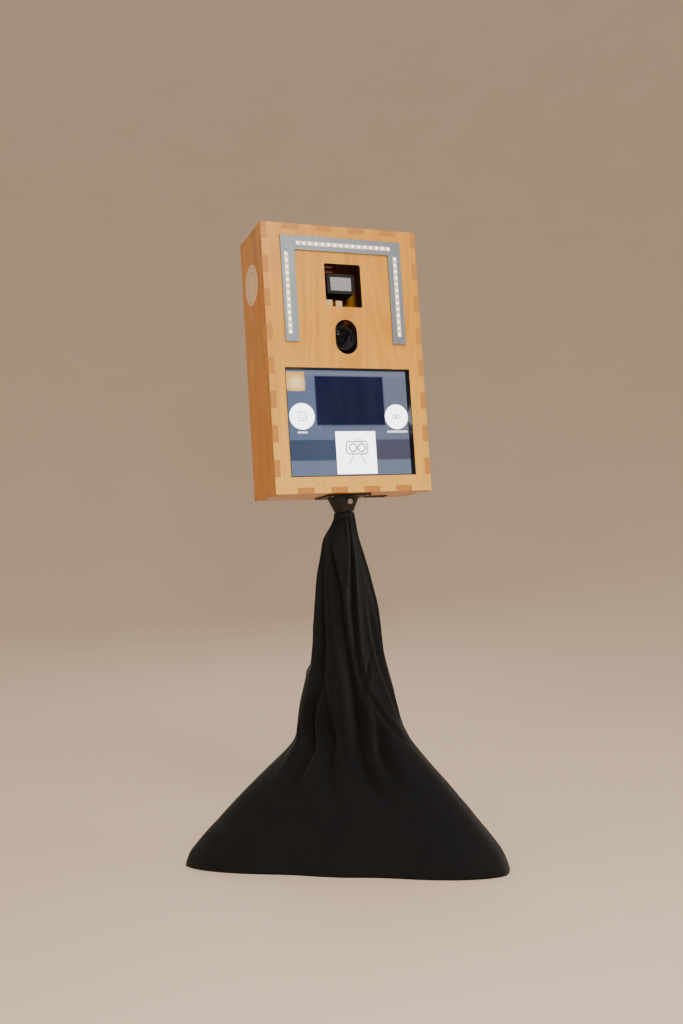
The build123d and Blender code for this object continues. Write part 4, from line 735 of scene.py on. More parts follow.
# ---------------------------------------------------------------- meshes from grids
def grid_piece(name: str, points: np.ndarray, wrap_columns: bool = False, wrap_rows: bool = False,
               uv: np.ndarray | None = None) -> bpy.types.Object:
    """A piece whose surface is a grid of points.

    Args:
        name: The piece's name.
        points: Rows by columns by three, in metres.
        wrap_columns: Whether the last column joins the first.
        wrap_rows: Whether the last row joins the first.
        uv: Rows by columns by two, one more of each that wraps, in metres.

    Returns:
        The object, at the origin, with smooth faces.
    """
    rows, columns = points.shape[:2]
    high = rows if wrap_rows else rows - 1
    wide = columns if wrap_columns else columns - 1
    r, c = np.meshgrid(np.arange(high), np.arange(wide), indexing="ij")
    r1, c1 = (r + 1) % rows, (c + 1) % columns
    corners = np.stack([r * columns + c, r * columns + c1, r1 * columns + c1, r1 * columns + c], axis=-1)
    faces = corners.reshape(-1, 4)
    mesh = bpy.data.meshes.new(name)
    mesh.vertices.add(rows * columns)
    mesh.vertices.foreach_set("co", points.reshape(-1).astype(np.float32))
    mesh.loops.add(faces.size)
    mesh.loops.foreach_set("vertex_index", faces.reshape(-1).astype(np.int32))
    mesh.polygons.add(len(faces))
    mesh.polygons.foreach_set("loop_start", np.arange(0, faces.size, 4, dtype=np.int32))
    mesh.update(calc_edges=True)
    mesh.validate()
    mesh.shade_smooth()
    if uv is not None:
        quads = np.stack([uv[:high, :wide], uv[:high, 1:wide + 1], uv[1:high + 1, 1:wide + 1],
                          uv[1:high + 1, :wide]], axis=2)
        layer = mesh.uv_layers.new(name="cloth")
        layer.data.foreach_set("uv", quads.reshape(-1).astype(np.float32))
    piece = bpy.data.objects.new(name, mesh)
    bpy.context.scene.collection.objects.link(piece)
    return piece


def close_poles(piece: bpy.types.Object) -> None:
    """Merges the points of a grid that share a place, and points its faces outwards."""
    shell = bmesh.new()
    shell.from_mesh(piece.data)
    bmesh.ops.remove_doubles(shell, verts=shell.verts, dist=MERGE)
    bmesh.ops.dissolve_degenerate(shell, edges=shell.edges, dist=MERGE)
    bmesh.ops.recalc_face_normals(shell, faces=shell.faces)
    shell.to_mesh(piece.data)
    shell.free()


def turned_piece(name: str, profile: Sequence[tuple[float, float]], centre: Vector,
                 columns: int = 72) -> bpy.types.Object:
    """A piece turned round an axis along Y.

    Args:
        name: The piece's name.
        profile: Radius and distance along Y from the centre, from pole to pole.
        centre: A point on the axis.
        columns: Points round the axis.

    Returns:
        The object; each point is centre + (r cos a, y, r sin a).
    """
    radius, depth = np.array(profile, float).T
    angle = np.linspace(0.0, FULL_TURN, columns, endpoint=False)
    x = centre.x + radius[:, None] * np.cos(angle)
    y = centre.y + np.repeat(depth[:, None], columns, axis=1)
    z = centre.z + radius[:, None] * np.sin(angle)
    piece = grid_piece(name, np.stack([x, y, z], axis=-1), wrap_columns=True)
    close_poles(piece)
    return piece


def dress(piece: bpy.types.Object, material: bpy.types.Material) -> None:
    """Gives a piece one material in all its slots."""
    if not piece.data.materials:
        piece.data.materials.append(material)
    for place in piece.material_slots:
        place.material = material


def report(piece: bpy.types.Object) -> None:
    """Logs a piece's name and its number of faces."""
    LOG.info("%s: %d faces", piece.name, len(piece.data.polygons))


# ---------------------------------------------------------------- the cover
@dataclass(frozen=True)
class Crease:
    """A valley fold: its heights in millimetres with the azimuth, depth and half width at each."""

    heights: tuple[float, ...]
    azimuths: tuple[float, ...]
    depths: tuple[float, ...]
    widths: tuple[float, ...]


@dataclass
class ClothCover:
    """Cloth drawn in at the mast's neck and spread over the tripod, with its tie."""

    leg_azimuths: tuple[float, ...] = (-99.0, 21.0, 141.0)
    knob_azimuth: float = -111.6
    pivot_out: float = 38.0
    pivot_height: float = 362.0
    spread: float = 48.0
    foot_reach: float = 440.3
    leg_radius: float = 12.5
    foot_radius: float = 16.0
    foot_height: float = 48.0
    skirt_drop: float = 88.0
    over_legs: float = 10.0
    swell: float = 16.0
    fold_room: float = 26.0
    room_lost: float = 20.0
    ridge_width: float = 23.5
    neck_radius: float = 23.5
    top: float = 848.0
    knob_height: float = 768.0
    rows: int = 156
    columns: int = 288
    cloth_thickness: float = 0.0009
    fold_depth: float = 1.5
    fold_width: float = 0.8
    seed: int = 7
    creases: tuple[Crease, ...] = field(default_factory=lambda: (
        Crease((830, 760, 700, 550, 400, 304, 214, 150), (-92, -88, -84, -76, -74, -82, -77, -76),
               (1, 3, 9, 15, 19, 21, 13, 0), (3, 5, 8, 11, 14, 17, 20, 22)),
        Crease((560, 470, 400, 330, 258, 194, 140), (-68, -66, -63, -61, -58, -49, -41),
               (0, 5, 10, 14, 13, 9, 0), (6, 8, 9, 11, 14, 18, 20)),
        Crease((470, 400, 330, 270, 215, 160), (-52, -54, -54, -52, -44, -37),
               (0, 4, 7, 7, 5, 0), (6, 8, 9, 11, 13, 15)),
        Crease((838, 790, 752, 713, 636, 524, 407, 316, 241, 180, 140),
               (-74, -70, -65, -55, -40, -34, -26, -23, -20, -11, -4),
               (1, 3, 6, 9, 12, 15, 19, 21, 15, 8, 0), (3, 4, 6, 8, 10, 12, 14, 16, 18, 20, 22)),
        Crease((835, 770, 712, 650, 600, 497, 420, 345, 285, 215, 170),
               (-2, -6, -10, -16, -19, -18, -13, -13, -12, -15, -12),
               (1, 3, 9, 13, 13, 11, 9, 8, 6, 3, 0), (3, 4, 6, 8, 10, 10, 10, 11, 12, 14, 14)),
        Crease((500, 463, 434, 399, 370, 344, 300), (14, 6, -3, -8, -4, 0, 4),
               (0, 3, 5, 5, 4, 3, 0), (6, 7, 8, 8, 8, 9, 10)),
        Crease((415, 380, 349, 320, 290, 255), (-6, 0, 6, 12, 17, 26),
               (0, 4, 6, 7, 6, 0), (5, 6, 7, 8, 9, 12)),
        Crease((330, 300, 270, 240, 200, 150), (2, 2, 1, 0, 0, 2),
               (0, 6, 9, 9, 6, 0), (10, 14, 18, 20, 22, 24)),
        Crease((838, 740, 620, 500, 400, 330, 260, 210), (40, 44, 50, 54, 56, 50, 44, 42),
               (1, 4, 8, 10, 11, 12, 8, 0), (3, 6, 9, 11, 13, 15, 18, 20)),
        Crease((640, 560, 480, 400, 330, 280), (22, 24, 27, 30, 34, 40),
               (0, 5, 7, 6, 4, 0), (6, 9, 10, 11, 12, 14)),
        Crease((838, 720, 600, 480, 380, 300, 220, 160), (82, 84, 80, 78, 84, 88, 86, 84),
               (1, 5, 9, 13, 16, 18, 10, 0), (3, 6, 9, 12, 14, 18, 20, 22)),
        Crease((700, 600, 480, 380, 300, 200, 140), (104, 100, 98, 104, 108, 104, 98),
               (0, 5, 9, 11, 13, 7, 0), (5, 8, 10, 13, 15, 18, 20)),
        Crease((838, 700, 560, 430, 330, 250), (128, 122, 124, 128, 124, 120),
               (1, 5, 8, 9, 7, 0), (3, 6, 9, 12, 14, 16)),
        Crease((838, 730, 600, 470, 370, 290, 210, 150), (168, 172, 178, 182, 178, 182, 190, 194),
               (1, 5, 9, 14, 17, 18, 11, 0), (3, 6, 9, 12, 15, 18, 20, 22)),
        Crease((620, 520, 420, 330, 240, 180), (198, 202, 206, 204, 208, 212),
               (0, 5, 9, 12, 8, 0), (6, 9, 11, 14, 18, 20)),
        Crease((838, 720, 600, 480, 380, 300, 220, 160), (212, 218, 224, 228, 226, 232, 228, 224),
               (1, 4, 9, 13, 15, 15, 8, 0), (3, 6, 8, 11, 14, 17, 19, 22)),
        Crease((838, 740, 640, 540, 470), (246, 244, 242, 244, 246),
               (1, 3, 6, 5, 0), (3, 5, 8, 9, 10)),
    ))

    def outline(self) -> np.ndarray:
        """Rows of height, radius between the legs, extra radius over a leg and lean towards the knob."""
        slope = math.radians(self.spread)
        skirt = self.pivot_height - self.skirt_drop
        shares = np.array([0.0, 0.09, 0.16, 0.38, 0.62, 0.84, 1.0])
        between = np.array([0.60, 0.59, 0.585, 0.59, 0.60, 0.62, 0.69])
        z = shares * skirt
        inside = np.where(z < self.foot_height, self.foot_radius, self.leg_radius)
        over = self.pivot_out + (self.pivot_height - z) * math.tan(slope) + inside / math.cos(slope)
        over = over + self.over_legs + self.swell * np.sin(math.pi * shares)
        over = np.where(z < self.foot_height / 2, self.foot_reach + self.foot_radius, over)
        lower = np.stack([z, over * between, over * (1.0 - between), np.zeros(len(z))], axis=1)
        upper = np.array([(0, 108, 26, 16), (85, 96, 8, 17), (160, 84, 3, 14), (260, 76, 0, 12),
                          (325, 65, 0, 13)], float)
        upper[:, 0] += self.pivot_height
        neck = np.array([(-3, 49, 0, 13), (22, 45, 0, 14), (36, 37, 0, 8), (48, 29, 0, 0)], float)
        neck[:, 0] += self.knob_height
        return np.vstack([lower, upper, neck, [[self.top, self.neck_radius, 0.0, 0.0]]])

    def smooth_body(self, azimuth: np.ndarray, height: np.ndarray) -> np.ndarray:
        """The body's radius averaged a little up and down, so that its levels don't show as corners."""
        steps = ((-22.0, 0.15), (-11.0, 0.2), (0.0, 0.3), (11.0, 0.2), (22.0, 0.15))
        return sum(share * self.body(azimuth, np.clip(height + up, 0.0, self.top)) for up, share in steps)

    def body(self, azimuth: np.ndarray, height: np.ndarray) -> np.ndarray:
        """Radius without folds: between + extra exp(-(off/width)^1.5) + lean cos(azimuth - knob)."""
        levels = self.outline()
        between, extra, lean = (np.interp(height, levels[:, 0], levels[:, k]) for k in (1, 2, 3))
        off = np.min([np.abs(self.turn(azimuth - leg)) for leg in self.leg_azimuths], axis=0)
        hump = extra * np.exp(-((off / self.ridge_width) ** 1.5))
        return between + hump + lean * np.cos(np.radians(azimuth - self.knob_azimuth))

    @staticmethod
    def turn(degrees: np.ndarray) -> np.ndarray:
        """Angles brought to -180..180."""
        return (degrees + 180.0) % 360.0 - 180.0

    def fold(self, azimuth: np.ndarray, height: np.ndarray, radius: np.ndarray) -> np.ndarray:
        """Depth of all creases: each is a valley exp(-t^2) with a low ridge either side, t across it."""
        depth = np.zeros_like(radius)
        for crease in self.creases:
            order = slice(None, None, -1)
            heights = crease.heights[order]
            middle = np.interp(height, heights, crease.azimuths[order])
            deep = np.interp(height, heights, crease.depths[order], left=0.0, right=0.0)
            wide = np.interp(height, heights, crease.widths[order])
            t = np.abs(np.radians(self.turn(azimuth - middle)) * radius) / (wide * self.fold_width)
            valley = np.exp(-(t ** 2))
            ridge = 0.34 * np.exp(-(((t - 2.0) / 0.8) ** 2))
            depth += self.fold_depth * deep * (valley - ridge)
        return depth

    def ripples(self, azimuth: np.ndarray, height: np.ndarray) -> np.ndarray:
        """Small waves: pleats below the tie, soft swells on the body and faint level waves on the skirt."""
        random = np.random.default_rng(self.seed)
        angle = np.radians(azimuth)
        near_tie = np.exp(-(((height - 822.0) / 46.0) ** 2))
        pleats = np.zeros_like(angle)
        for count, size in ((11, 1.0), (17, 0.8), (26, 0.5)):
            pleats += size * np.sin(count * angle + random.uniform(0, 6.28) + 0.006 * (height - 800.0))
        body = np.clip((height - 250.0) / 120.0, 0, 1) * np.clip((800.0 - height) / 120.0, 0, 1)
        swells = np.zeros_like(angle)
        for count in (5, 7, 9, 13):
            drift = random.uniform(-0.012, 0.012)
            swells += np.sin(count * angle + random.uniform(0, 6.28) + drift * height) * 6.0 / count
        skirt = np.clip((230.0 - height) / 120.0, 0, 1)
        level = np.zeros_like(angle)
        for length in (62.0, 41.0, 27.0):
            bend = 1.6 * np.sin(2 * angle + random.uniform(0, 6.28))
            level += np.sin(FULL_TURN * height / length + bend + random.uniform(0, 6.28)) * length / 80.0
        hem = np.exp(-((height / 40.0) ** 2)) * np.sin(9 * angle + 1.1) * 2.4
        return near_tie * pleats * 1.5 + body * swells * 1.5 + skirt * level * 0.55 + hem

    def crumple(self, azimuth: np.ndarray, height: np.ndarray) -> np.ndarray:
        """Cross wrinkles where the folds land on the skirt, strongest above the front leg."""
        places = ((2.0, 425.0, 16.0, 60.0, 2.4), (10.0, 330.0, 18.0, 40.0, 2.2),
                  (-88.0, 300.0, 14.0, 50.0, 1.8), (95.0, 330.0, 20.0, 50.0, 2.2),
                  (205.0, 320.0, 20.0, 50.0, 2.2))
        total = np.zeros_like(azimuth)
        for number, (middle, level, wide, tall, size) in enumerate(places):
            off = self.turn(azimuth - middle) / wide
            near = np.exp(-(off ** 2) - ((height - level) / tall) ** 2)
            phase = height / 9.5 + 1.8 * off + 1.3 * np.sin(height / 23.0 + number)
            total += near * size * np.sin(phase) * (0.6 + 0.4 * np.sin(height / 31.0 + 2.0 * off))
        return total

    def ledge(self, azimuth: np.ndarray, height: np.ndarray) -> np.ndarray:
        """The cloth caught on the hub's knob: it drops in just above the knob's height."""
        near = np.exp(-((self.turn(azimuth - self.knob_azimuth) / 26.0) ** 2))
        step = np.clip((height - 446.0) / 14.0, 0, 1) * np.clip((560.0 - height) / 90.0, 0, 1)
        return 9.0 * near * step

    def heights(self) -> np.ndarray:
        """Row heights with even spacing along the slope, in millimetres from hem to top."""
        fine = np.linspace(0.0, self.top, 1200)
        radius = self.body(np.full_like(fine, -40.0), fine)
        length = np.concatenate([[0.0], np.cumsum(np.hypot(np.diff(fine), np.diff(radius)))])
        return np.interp(np.linspace(0.0, length[-1], self.rows), length, fine)

    def surface(self) -> tuple[np.ndarray, np.ndarray, np.ndarray]:
        """The cover's points and cloth coordinates, in metres, and how deep in a fold each is, 0 to 1, which
        the cloth's material uses as painted shade.
        """
        bearings = np.linspace(-180.0, 180.0, self.columns, endpoint=False)
        azimuth, height = np.meshgrid(bearings, self.heights())
        radius = self.smooth_body(azimuth, height)
        clear = self.clearance(azimuth, height)
        depth = self.fold(azimuth, height, radius) + self.ledge(azimuth, height)
        depth = depth - self.ripples(azimuth, height) - self.crumple(azimuth, height)
        deepest = np.maximum(clear, 1.0)
        depth = np.where(depth > 0, deepest * np.tanh(depth / deepest), depth)
        # Painted shade in the folds, from how deep each point lies in a fold.
        painted_fold_shade = np.clip((depth - 2.0) / 11.0, 0.0, 1.0)
        radius = radius - depth
        around = np.radians(azimuth)
        points = np.stack([radius * np.sin(around), -radius * np.cos(around), height], axis=-1) * MM
        step = np.linalg.norm(np.diff(points, axis=0), axis=-1).mean(axis=1)
        along = np.concatenate([[0.0], np.cumsum(step)])
        gore = np.linspace(-180.0, 180.0, self.columns + 1)
        off = (gore % GORE) - HALF_STRIP
        u = np.radians(off)[None, :] * radius.mean(axis=1)[:, None] * MM
        v = np.repeat(along[:, None], self.columns + 1, axis=1)
        return points, np.stack([u, v], axis=-1), painted_fold_shade

    def clearance(self, azimuth: np.ndarray, height: np.ndarray) -> np.ndarray:
        """How deep a fold may go: little over the legs and the knobs, more between them."""
        off = np.min([np.abs(self.turn(azimuth - leg)) for leg in self.leg_azimuths], axis=0)
        lateral = np.radians(off) * self.body(azimuth, height)
        over_leg = np.clip((lateral - 20.0) / 14.0, 0, 1)
        skirt = np.clip((400.0 - height) / 60.0, 0, 1)
        room = self.fold_room - self.room_lost * (1.0 - over_leg) * skirt
        knob = np.exp(-((self.turn(azimuth - self.knob_azimuth) / 30.0) ** 2))
        knob = knob * np.exp(-(((height - self.knob_height) / 45.0) ** 2))
        neck = np.clip((835.0 - height) / 90.0, 0, 1)
        return room * (1.0 - 0.85 * knob) * (0.08 + 0.92 * neck)

    def build(self) -> None:
        """Makes the cover and lets it stand for its CAD shell."""
        points, uv, painted_fold_shade = self.surface()
        piece = grid_piece("cover_cloth", points, wrap_columns=True, uv=uv)
        # Painted shade in the folds, stored as the point attribute fold for the cloth's material.
        share = piece.data.attributes.new("fold", "FLOAT", "POINT")
        share.data.foreach_set("value", painted_fold_shade.reshape(-1).astype(np.float32))
        wall = piece.modifiers.new("wall", "SOLIDIFY")
        wall.thickness = self.cloth_thickness
        wall.offset = -1.0
        wall.use_even_offset = False
        dress(piece, ClothFinish("black_cloth_woven", tone(3, 4, 7), tone(9, 11, 16)).make())
        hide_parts("cloth_cover")
        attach(piece, "stand")
        report(piece)

    def build_tie(self) -> None:
        """A band of cloth wound round the neck: a flat rounded section carried round, rumpled and tilted."""
        low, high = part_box("neck_tie")
        middle = (low + high) / 2 / MM
        turn, section = np.meshgrid(np.linspace(0, FULL_TURN, 160, endpoint=False),
                                    np.linspace(0, FULL_TURN, 28, endpoint=False), indexing="ij")
        squared = np.abs(np.cos(section)) ** 0.6 * np.sign(np.cos(section))
        rumple = 0.5 * np.sin(7 * turn + 0.6) + 0.35 * np.sin(19 * turn + 2.0 * np.sin(section))
        radius = TIE_RADIUS + 1.6 * np.sin(section) + rumple * 0.5
        height = middle.z + 5.6 * squared + 1.5 * np.sin(turn + 0.9) + 0.7 * np.sin(3 * turn)
        crease = 0.45 * np.cos(height * 2.2 + 3.0 * np.sin(2 * turn)) * (np.sin(section) > 0)
        radius = radius + crease
        points = np.stack([radius * np.sin(turn), -radius * np.cos(turn), height], axis=-1) * MM
        around = np.linspace(0, FULL_TURN * TIE_RADIUS * MM, 161)
        across = np.linspace(0, 0.028, 29)
        uv = np.stack(np.meshgrid(around, across, indexing="ij"), axis=-1)
        piece = grid_piece("neck_tie_band", points, wrap_columns=True, wrap_rows=True, uv=uv)
        close_poles(piece)
        finish = ClothFinish("tie_cloth_woven", tone(9, 10, 13), tone(24, 25, 30), 0.55, 0.06, 5200.0)
        dress(piece, finish.make())
        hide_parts("neck_tie")
        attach(piece, "stand")
        report(piece)


# ---------------------------------------------------------------- the cabinet and what is in it
@dataclass
class Cabinet:
    """The finger-jointed plywood cabinet, its door, badge and hardware."""

    # Painted light on the front's veneer, paler towards the bottom between these heights in metres.
    front_painted_light: tuple[float, float] = (0.90, 1.30)

    def dress_nodes(self) -> None:
        """Gives each panel veneer along its own grain, and the hardware its metal."""
        warm = {"light": tone(214, 138, 18), "mid": tone(202, 124, 14), "dark": tone(166, 96, 8)}
        front = Plywood("veneer_front", Axis.Y, Axis.Z, black_cuts=True, painted_light_heights=self.front_painted_light)
        side = Plywood("veneer_side", Axis.X, Axis.Z, **warm)
        level = Plywood("veneer_level", Axis.Z, Axis.X, **warm)
        door = Plywood("veneer_door", Axis.Y, Axis.Z, gloss=0.42)
        pale = {"light": tone(222, 184, 132), "mid": tone(206, 162, 108), "dark": tone(172, 122, 70),
                "gloss": 0.6}
        raw = Plywood("raw_plywood_shelf", Axis.Z, Axis.X, **pale)
        blocks = Plywood("raw_plywood_blocks", Axis.Y, Axis.X, **pale)
        zinc = BrushedMetal("zinc_plate", tone(176, 178, 178), Axis.Z, 0.36)
        steel = BrushedMetal("lock_steel", tone(186, 186, 184), Axis.Z, 0.26)
        plan = {("front_panel",): front, ("side_panel_left", "side_panel_right"): side,
                ("top_panel", "bottom_panel"): level, ("rear_door",): door, ("camera_shelf",): raw,
                ("window_blocks",): blocks,
                ("case_screws", "door_screws", "hinge_leaves_fixed", "hinge_leaves_door",
                 "lock_keeper"): zinc,
                ("lock_barrel", "lock_cam"): steel,
                ("side_badge",): BadgePrint("badge_print_plain")}
        finish_nodes(plan)


@dataclass
class LightFrame:
    """Three mitred aluminium bars with light tape and diodes."""

    tape_glow: float = 0.4
    chip_glow: float = 3.6

    def dress_nodes(self) -> None:
        """Brushes each bar along its length and lights the tape and its diodes."""
        grey = tone(136, 150, 164)
        plan = {("light_bar_left", "light_bar_right"): BrushedMetal("aluminium_upright", grey, Axis.Z, 0.42),
                ("light_bar_top",): BrushedMetal("aluminium_level", grey, Axis.X, 0.42),
                ("light_tapes",): LampAndPaintedGlow("tape_white", tone(186, 180, 168), tone(222, 214, 200),
                                              self.tape_glow),
                ("light_chips",): LampAndPaintedGlow("diode_lit", tone(240, 232, 214), tone(255, 246, 226),
                                              self.chip_glow, 900.0)}
        finish_nodes(plan)


def finish_nodes(plan: Mapping[tuple[str, ...], Any]) -> None:
    """Makes each finish once and gives it to its CAD nodes."""
    for names, finish in plan.items():
        material = finish.make()
        for name in names:
            dress(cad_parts[name], material)
            LOG.info("%s: %s", name, material.name)


@dataclass
class TouchScreen:
    """The monitor: liner, glass, lit panel and steel chassis."""

    recess: float = 0.0004
    frame_width: float = 0.004
    frame_rise: float = 0.0002

    def build(self) -> None:
        """Dresses the CAD nodes and makes the lit panel, set back a hair from the glass."""
        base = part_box("bottom_panel")[0].z
        finish_nodes({
            ("screen_bezel",): Moulded("liner_black", tone(5, 5, 6), tone(26, 26, 28), 0.45, dust=0.1),
            ("touch_glass",): ClearGlass("touch_glass_clear", rough=0.02, index=1.16),
            ("monitor_chassis",): BrushedMetal("chassis_steel", tone(150, 152, 154), Axis.Z, 0.45),
        })
        low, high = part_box("lcd_panel")
        panel = self.slab("lcd_face", low, high)
        dress(panel, ScreenPicture("screen_picture", base).make())
        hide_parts("lcd_panel")
        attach(panel, "booth")
        report(panel)

    def slab(self, name: str, low: Vector, high: Vector) -> bpy.types.Object:
        """A flat panel: rings of a rectangle from the middle of its front, over the rim, to its back's."""
        front = low.y + self.recess
        steps = ((0.0, front), (0.5, front), (1.0 - self.frame_width, front), (1.0, front + self.frame_rise),
                 (1.0, high.y), (0.5, high.y), (0.0, high.y))
        side = np.linspace(-1.0, 1.0, 9)[:-1]
        square = np.concatenate([np.stack([side, -np.ones(8)], 1), np.stack([np.ones(8), side], 1),
                                 np.stack([-side, np.ones(8)], 1), np.stack([-np.ones(8), -side], 1)])
        scale, depth = np.array(steps).T
        half = np.array([(high.x - low.x) / 2, (high.z - low.z) / 2])
        middle = np.array([(high.x + low.x) / 2, (high.z + low.z) / 2])
        flat = middle + square[None] * half * scale[:, None, None]
        points = np.stack([flat[..., 0], np.repeat(depth[:, None], 32, axis=1), flat[..., 1]], axis=-1)
        piece = grid_piece(name, points, wrap_columns=True)
        close_poles(piece)
        piece.data.shade_flat()
        return piece


@dataclass
class CameraAndFlash:
    """The camera on its shelf with a zoom lens, and the flash above it."""

    lens_rings: int = 5
    ribs: int = 30

    def build(self) -> None:
        """Dresses the CAD nodes, then makes the lens's inside and glass, and the flash's window and trough."""
        body = Moulded("camera_black", tone(8, 8, 9), tone(34, 34, 36), 0.55, 1500.0, 0.0001)
        finish_nodes({
            ("camera_body", "camera_lens", "flash_body", "flash_head"): body,
            ("zoom_ring",): Moulded("ring_rubber", tone(7, 7, 8), tone(30, 30, 31), 0.7, 2200.0, 0.0001),
            ("shutter_button",): BrushedMetal("button_metal", tone(150, 150, 152), Axis.Y, 0.3),
            ("camera_screw",): BrushedMetal("screw_metal", tone(182, 182, 180), Axis.Z, 0.3),
        })
        self.build_lens()
        self.build_flash()

    def build_lens(self) -> None:
        """A domed front glass over a stepped black funnel that ends in a small coated inner lens."""
        low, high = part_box("lens_glass")
        centre = Vector(((low.x + high.x) / 2, low.y, (low.z + high.z) / 2))
        radius = (high.x - low.x) / 2
        depth = high.y - low.y
        dome = [(radius * s, depth * 0.30 * s * s) for s in np.linspace(0.0, 1.0, 16)]
        back = [(radius * s, depth * 0.30 + 0.0008 - 0.0004 * (1 - s)) for s in np.linspace(1.0, 0.0, 8)]
        glass = turned_piece("lens_front_glass", dome + back, centre)
        steps = np.linspace(1.0, 0.5, self.lens_rings * 2)
        funnel = [(radius * 0.999, depth * 0.45)]
        funnel += [(radius * s, depth * (0.45 + 0.5 * (i // 2 * 2) / len(steps)))
                   for i, s in enumerate(steps)]
        funnel += [(radius * 0.48, depth * 0.96), (radius * 0.3, depth * 0.92), (0.0, depth * 0.9)]
        cup = [(0.0, depth * 0.99), (radius * 0.999, depth * 0.99), (radius * 0.999, depth * 0.45)]
        inner = turned_piece("lens_inner_rings", funnel + cup, centre)
        dress(glass, ClearGlass("lens_glass_coated", tone(196, 188, 214), 0.01, index=1.12).make())
        inside = Moulded("lens_inside_black", tone(4, 4, 6), tone(22, 14, 34), 0.35, 1200.0, 0.00002, dust=0.0)
        dress(inner, inside.make())
        for piece in (glass, inner):
            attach(piece, "booth")
            report(piece)
        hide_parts("lens_glass")

    def build_flash(self) -> None:
        """A ribbed clear window over a trough with a painted glow, in the flash head's pocket."""
        low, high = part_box("flash_window")
        inset = 0.0002
        x = np.linspace(low.x + inset, high.x - inset, 25)
        z = np.linspace(low.z + inset, high.z - inset, self.ribs * 4 + 1)
        grid_x, grid_z = np.meshgrid(x, z)
        saw = np.abs(((np.arange(len(z)) / 4.0) % 1.0) - 0.5)[:, None] * 0.0009
        front = np.stack([grid_x, low.y + 0.0001 + saw + 0 * grid_x, grid_z], axis=-1)
        window = grid_piece("flash_window_ribbed", front)
        self.thicken(window, 0.0009)
        share = (grid_x - low.x) / (high.x - low.x) * 2.0 - 1.0
        level = (grid_z - low.z) / (high.z - low.z) * 2.0 - 1.0
        bowl = 0.0013 + 0.0014 * (1.0 - level ** 2) * (1.0 - 0.3 * share ** 6)
        facets = 0.00012 * np.sin(grid_x * FULL_TURN / 0.0042)
        trough = grid_piece("flash_reflector", np.stack([grid_x, low.y + bowl + facets, grid_z], axis=-1))
        self.thicken(trough, 0.0002)
        dress(window, ClearGlass("flash_window_clear", tone(244, 246, 248), 0.12).make())
        # Painted glow: the reflector emits light although the flash is not firing.
        bright = LampAndPaintedGlow("reflector_painted_glow", tone(238, 240, 242), tone(226, 230, 232), 1.1, 260.0)
        dress(trough, bright.make())
        for piece in (window, trough):
            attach(piece, "flash")
            report(piece)
        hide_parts("flash_window")

    @staticmethod
    def thicken(piece: bpy.types.Object, thickness: float) -> None:
        """Gives an open sheet a wall towards +Y."""
        wall = piece.modifiers.new("wall", "SOLIDIFY")
        wall.thickness = thickness
        wall.offset = -1.0


@dataclass
class Fittings:
    """The small computer, the light driver, the inlet, the pole socket, the mast and the tripod."""

    def dress_nodes(self) -> None:
        """Gives each fitting its plastic, powder coat, steel or rubber."""
        black_steel = Moulded("powder_coat_black", tone(9, 9, 10), tone(62, 60, 58), 0.5, 1300.0, 0.00012)
        tube = Moulded("tube_black", tone(9, 9, 10), tone(96, 94, 90), 0.36, 700.0, 0.00003, 0.25, wear=0.6)
        plastic = Moulded("knob_black", tone(12, 12, 13), tone(50, 50, 52), 0.55, 1100.0, 0.0001, 0.35)
        bright = BrushedMetal("bright_steel", tone(204, 204, 202), Axis.Z, 0.24)
        rubber = Moulded("foot_rubber", tone(26, 26, 26), tone(70, 68, 66), 0.8, 700.0, 0.0002, 0.5)
        finish_nodes({
            ("mini_pc",): Moulded("computer_case", tone(44, 46, 50), tone(92, 92, 96), 0.45),
            ("light_driver",): Moulded("driver_case", tone(206, 206, 202), tone(150, 150, 148), 0.5),
            ("power_inlet",): Moulded("inlet_black", tone(20, 20, 21), tone(60, 60, 62), 0.4),
            ("power_rocker",): Moulded("rocker_red", tone(70, 10, 9), tone(110, 40, 34), 0.35, coat=0.3),
            ("pole_socket", "lower_collar", "leg_hub"): black_steel,
            ("mast_inner", "mast_outer", "leg_1", "leg_2", "leg_3", "brace_1", "brace_2", "brace_3"): tube,
            ("mast_clamp", "mast_clamp_knob", "hub_knob"): plastic,
            ("socket_clamp_screw", "hub_pins", "collar_pins"): bright,
            ("foot_1", "foot_2", "foot_3"): rubber,
        })


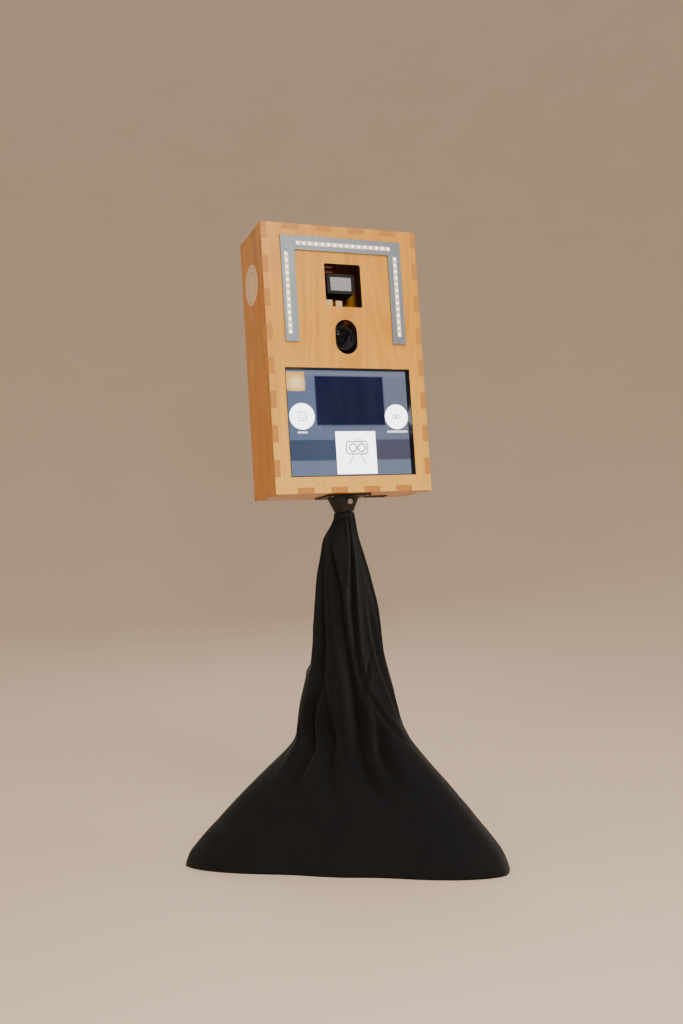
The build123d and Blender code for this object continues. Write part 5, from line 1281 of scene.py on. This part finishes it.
# ---------------------------------------------------------------- studio
@dataclass
class Studio:
    """Pale floor with a curved backdrop, soft lights and the camera."""

    floor_tone: Colour = tone(222, 202, 182)
    floor_dark: Colour = tone(214, 194, 172)
    aim: tuple[float, float, float] = (0.0, 0.0, 0.85)
    lights: tuple[tuple[str, tuple[float, float, float], float, float, Colour], ...] = (
        ("front_flash", (-0.7, -2.5, 1.2), 0.3, 40.0, LAMP),
        ("key_light", (0.1, -2.9, 3.1), 1.2, 70.0, LAMP),
        ("fill_right", (3.2, -1.8, 2.0), 2.4, 34.0, tone(252, 250, 250)),
        ("fill_left", (-3.4, 0.4, 1.6), 2.4, 14.0, tone(255, 246, 234)),
        ("back_light", (0.6, 3.2, 2.8), 2.2, 44.0, tone(255, 250, 242)),
    )
    place: tuple[float, float, float] = (-0.9405, -2.3544, 0.6909)
    right: tuple[float, float, float] = (0.92919, -0.36427, -0.06253)
    down: tuple[float, float, float] = (-0.03521, 0.08117, -0.99608)
    forward: tuple[float, float, float] = (0.36791, 0.92775, 0.0626)
    lens: float = 34.2

    def build(self) -> None:
        """Makes the backdrop, the lights and the camera."""
        self.backdrop()
        for light in self.lights:
            self.light(*light)
        world = bpy.data.worlds.new("studio")
        world.use_nodes = True
        ground = world.node_tree.nodes["Background"]
        ground.inputs["Color"].default_value = tone(240, 228, 212)
        ground.inputs["Strength"].default_value = 0.72
        bpy.context.scene.world = world
        self.camera()

    def backdrop(self) -> None:
        """A large round floor whose rim rises smoothly: height (r - 2.5)^2 / 12 past 2.5 m."""
        bearings = np.linspace(0, FULL_TURN, 96, endpoint=False)
        radius, turn = np.meshgrid(np.linspace(0.0, 14.0, 90), bearings, indexing="ij")
        height = np.where(radius > 2.5, (radius - 2.5) ** 2 / 12.0, 0.0)
        points = np.stack([radius * np.cos(turn), radius * np.sin(turn), height - 0.0002], axis=-1)
        floor = grid_piece("studio_floor", points, wrap_columns=True)
        material, tree, shader = new_material("floor_paper")
        place = tree.place()
        cloud = tree.noise(place, 1.4, 3.0)
        share = tree.span(cloud, 0.3, 0.7, 0.0, 0.25)
        tree.feed_all(shader, {"Base Color": tree.mix(share, self.floor_tone, self.floor_dark),
                               "Roughness": tree.span(tree.noise(place, 60.0, 3.0), 0.3, 0.7, 0.7, 0.85)})
        dress(floor, material)

    def light(self, name: str, place: tuple[float, float, float], size: float, power: float,
              colour: Colour) -> None:
        """A square soft light aimed at the booth's middle."""
        data = bpy.data.lights.new(name, "AREA")
        data.size = size
        data.energy = power
        data.color = colour[:3]
        lamp = bpy.data.objects.new(name, data)
        lamp.location = place
        lamp.rotation_euler = (Vector(self.aim) - Vector(place)).to_track_quat("-Z", "Y").to_euler()
        bpy.context.scene.collection.objects.link(lamp)

    def camera(self) -> None:
        """The camera at its place, upright frame, turned by its three axes."""
        data = bpy.data.cameras.new("camera")
        data.lens = self.lens
        data.sensor_width = 36.0
        data.clip_start = 0.05
        data.clip_end = 100.0
        camera = bpy.data.objects.new("camera", data)
        axes = Matrix((self.right, -Vector(self.down), -Vector(self.forward))).transposed().to_4x4()
        camera.matrix_world = Matrix.Translation(self.place) @ axes
        bpy.context.scene.collection.objects.link(camera)
        bpy.context.scene.camera = camera


def main() -> None:
    """Builds and dresses the booth, piece by piece, in the studio."""
    logging.basicConfig(level=logging.INFO, format="%(name)s %(message)s")
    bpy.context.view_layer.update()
    Studio().build()
    Cabinet().dress_nodes()
    LightFrame().dress_nodes()
    TouchScreen().build()
    CameraAndFlash().build()
    Fittings().dress_nodes()
    cover = ClothCover()
    cover.build_tie()
    cover.build()


if __name__ == "__main__":
    main()
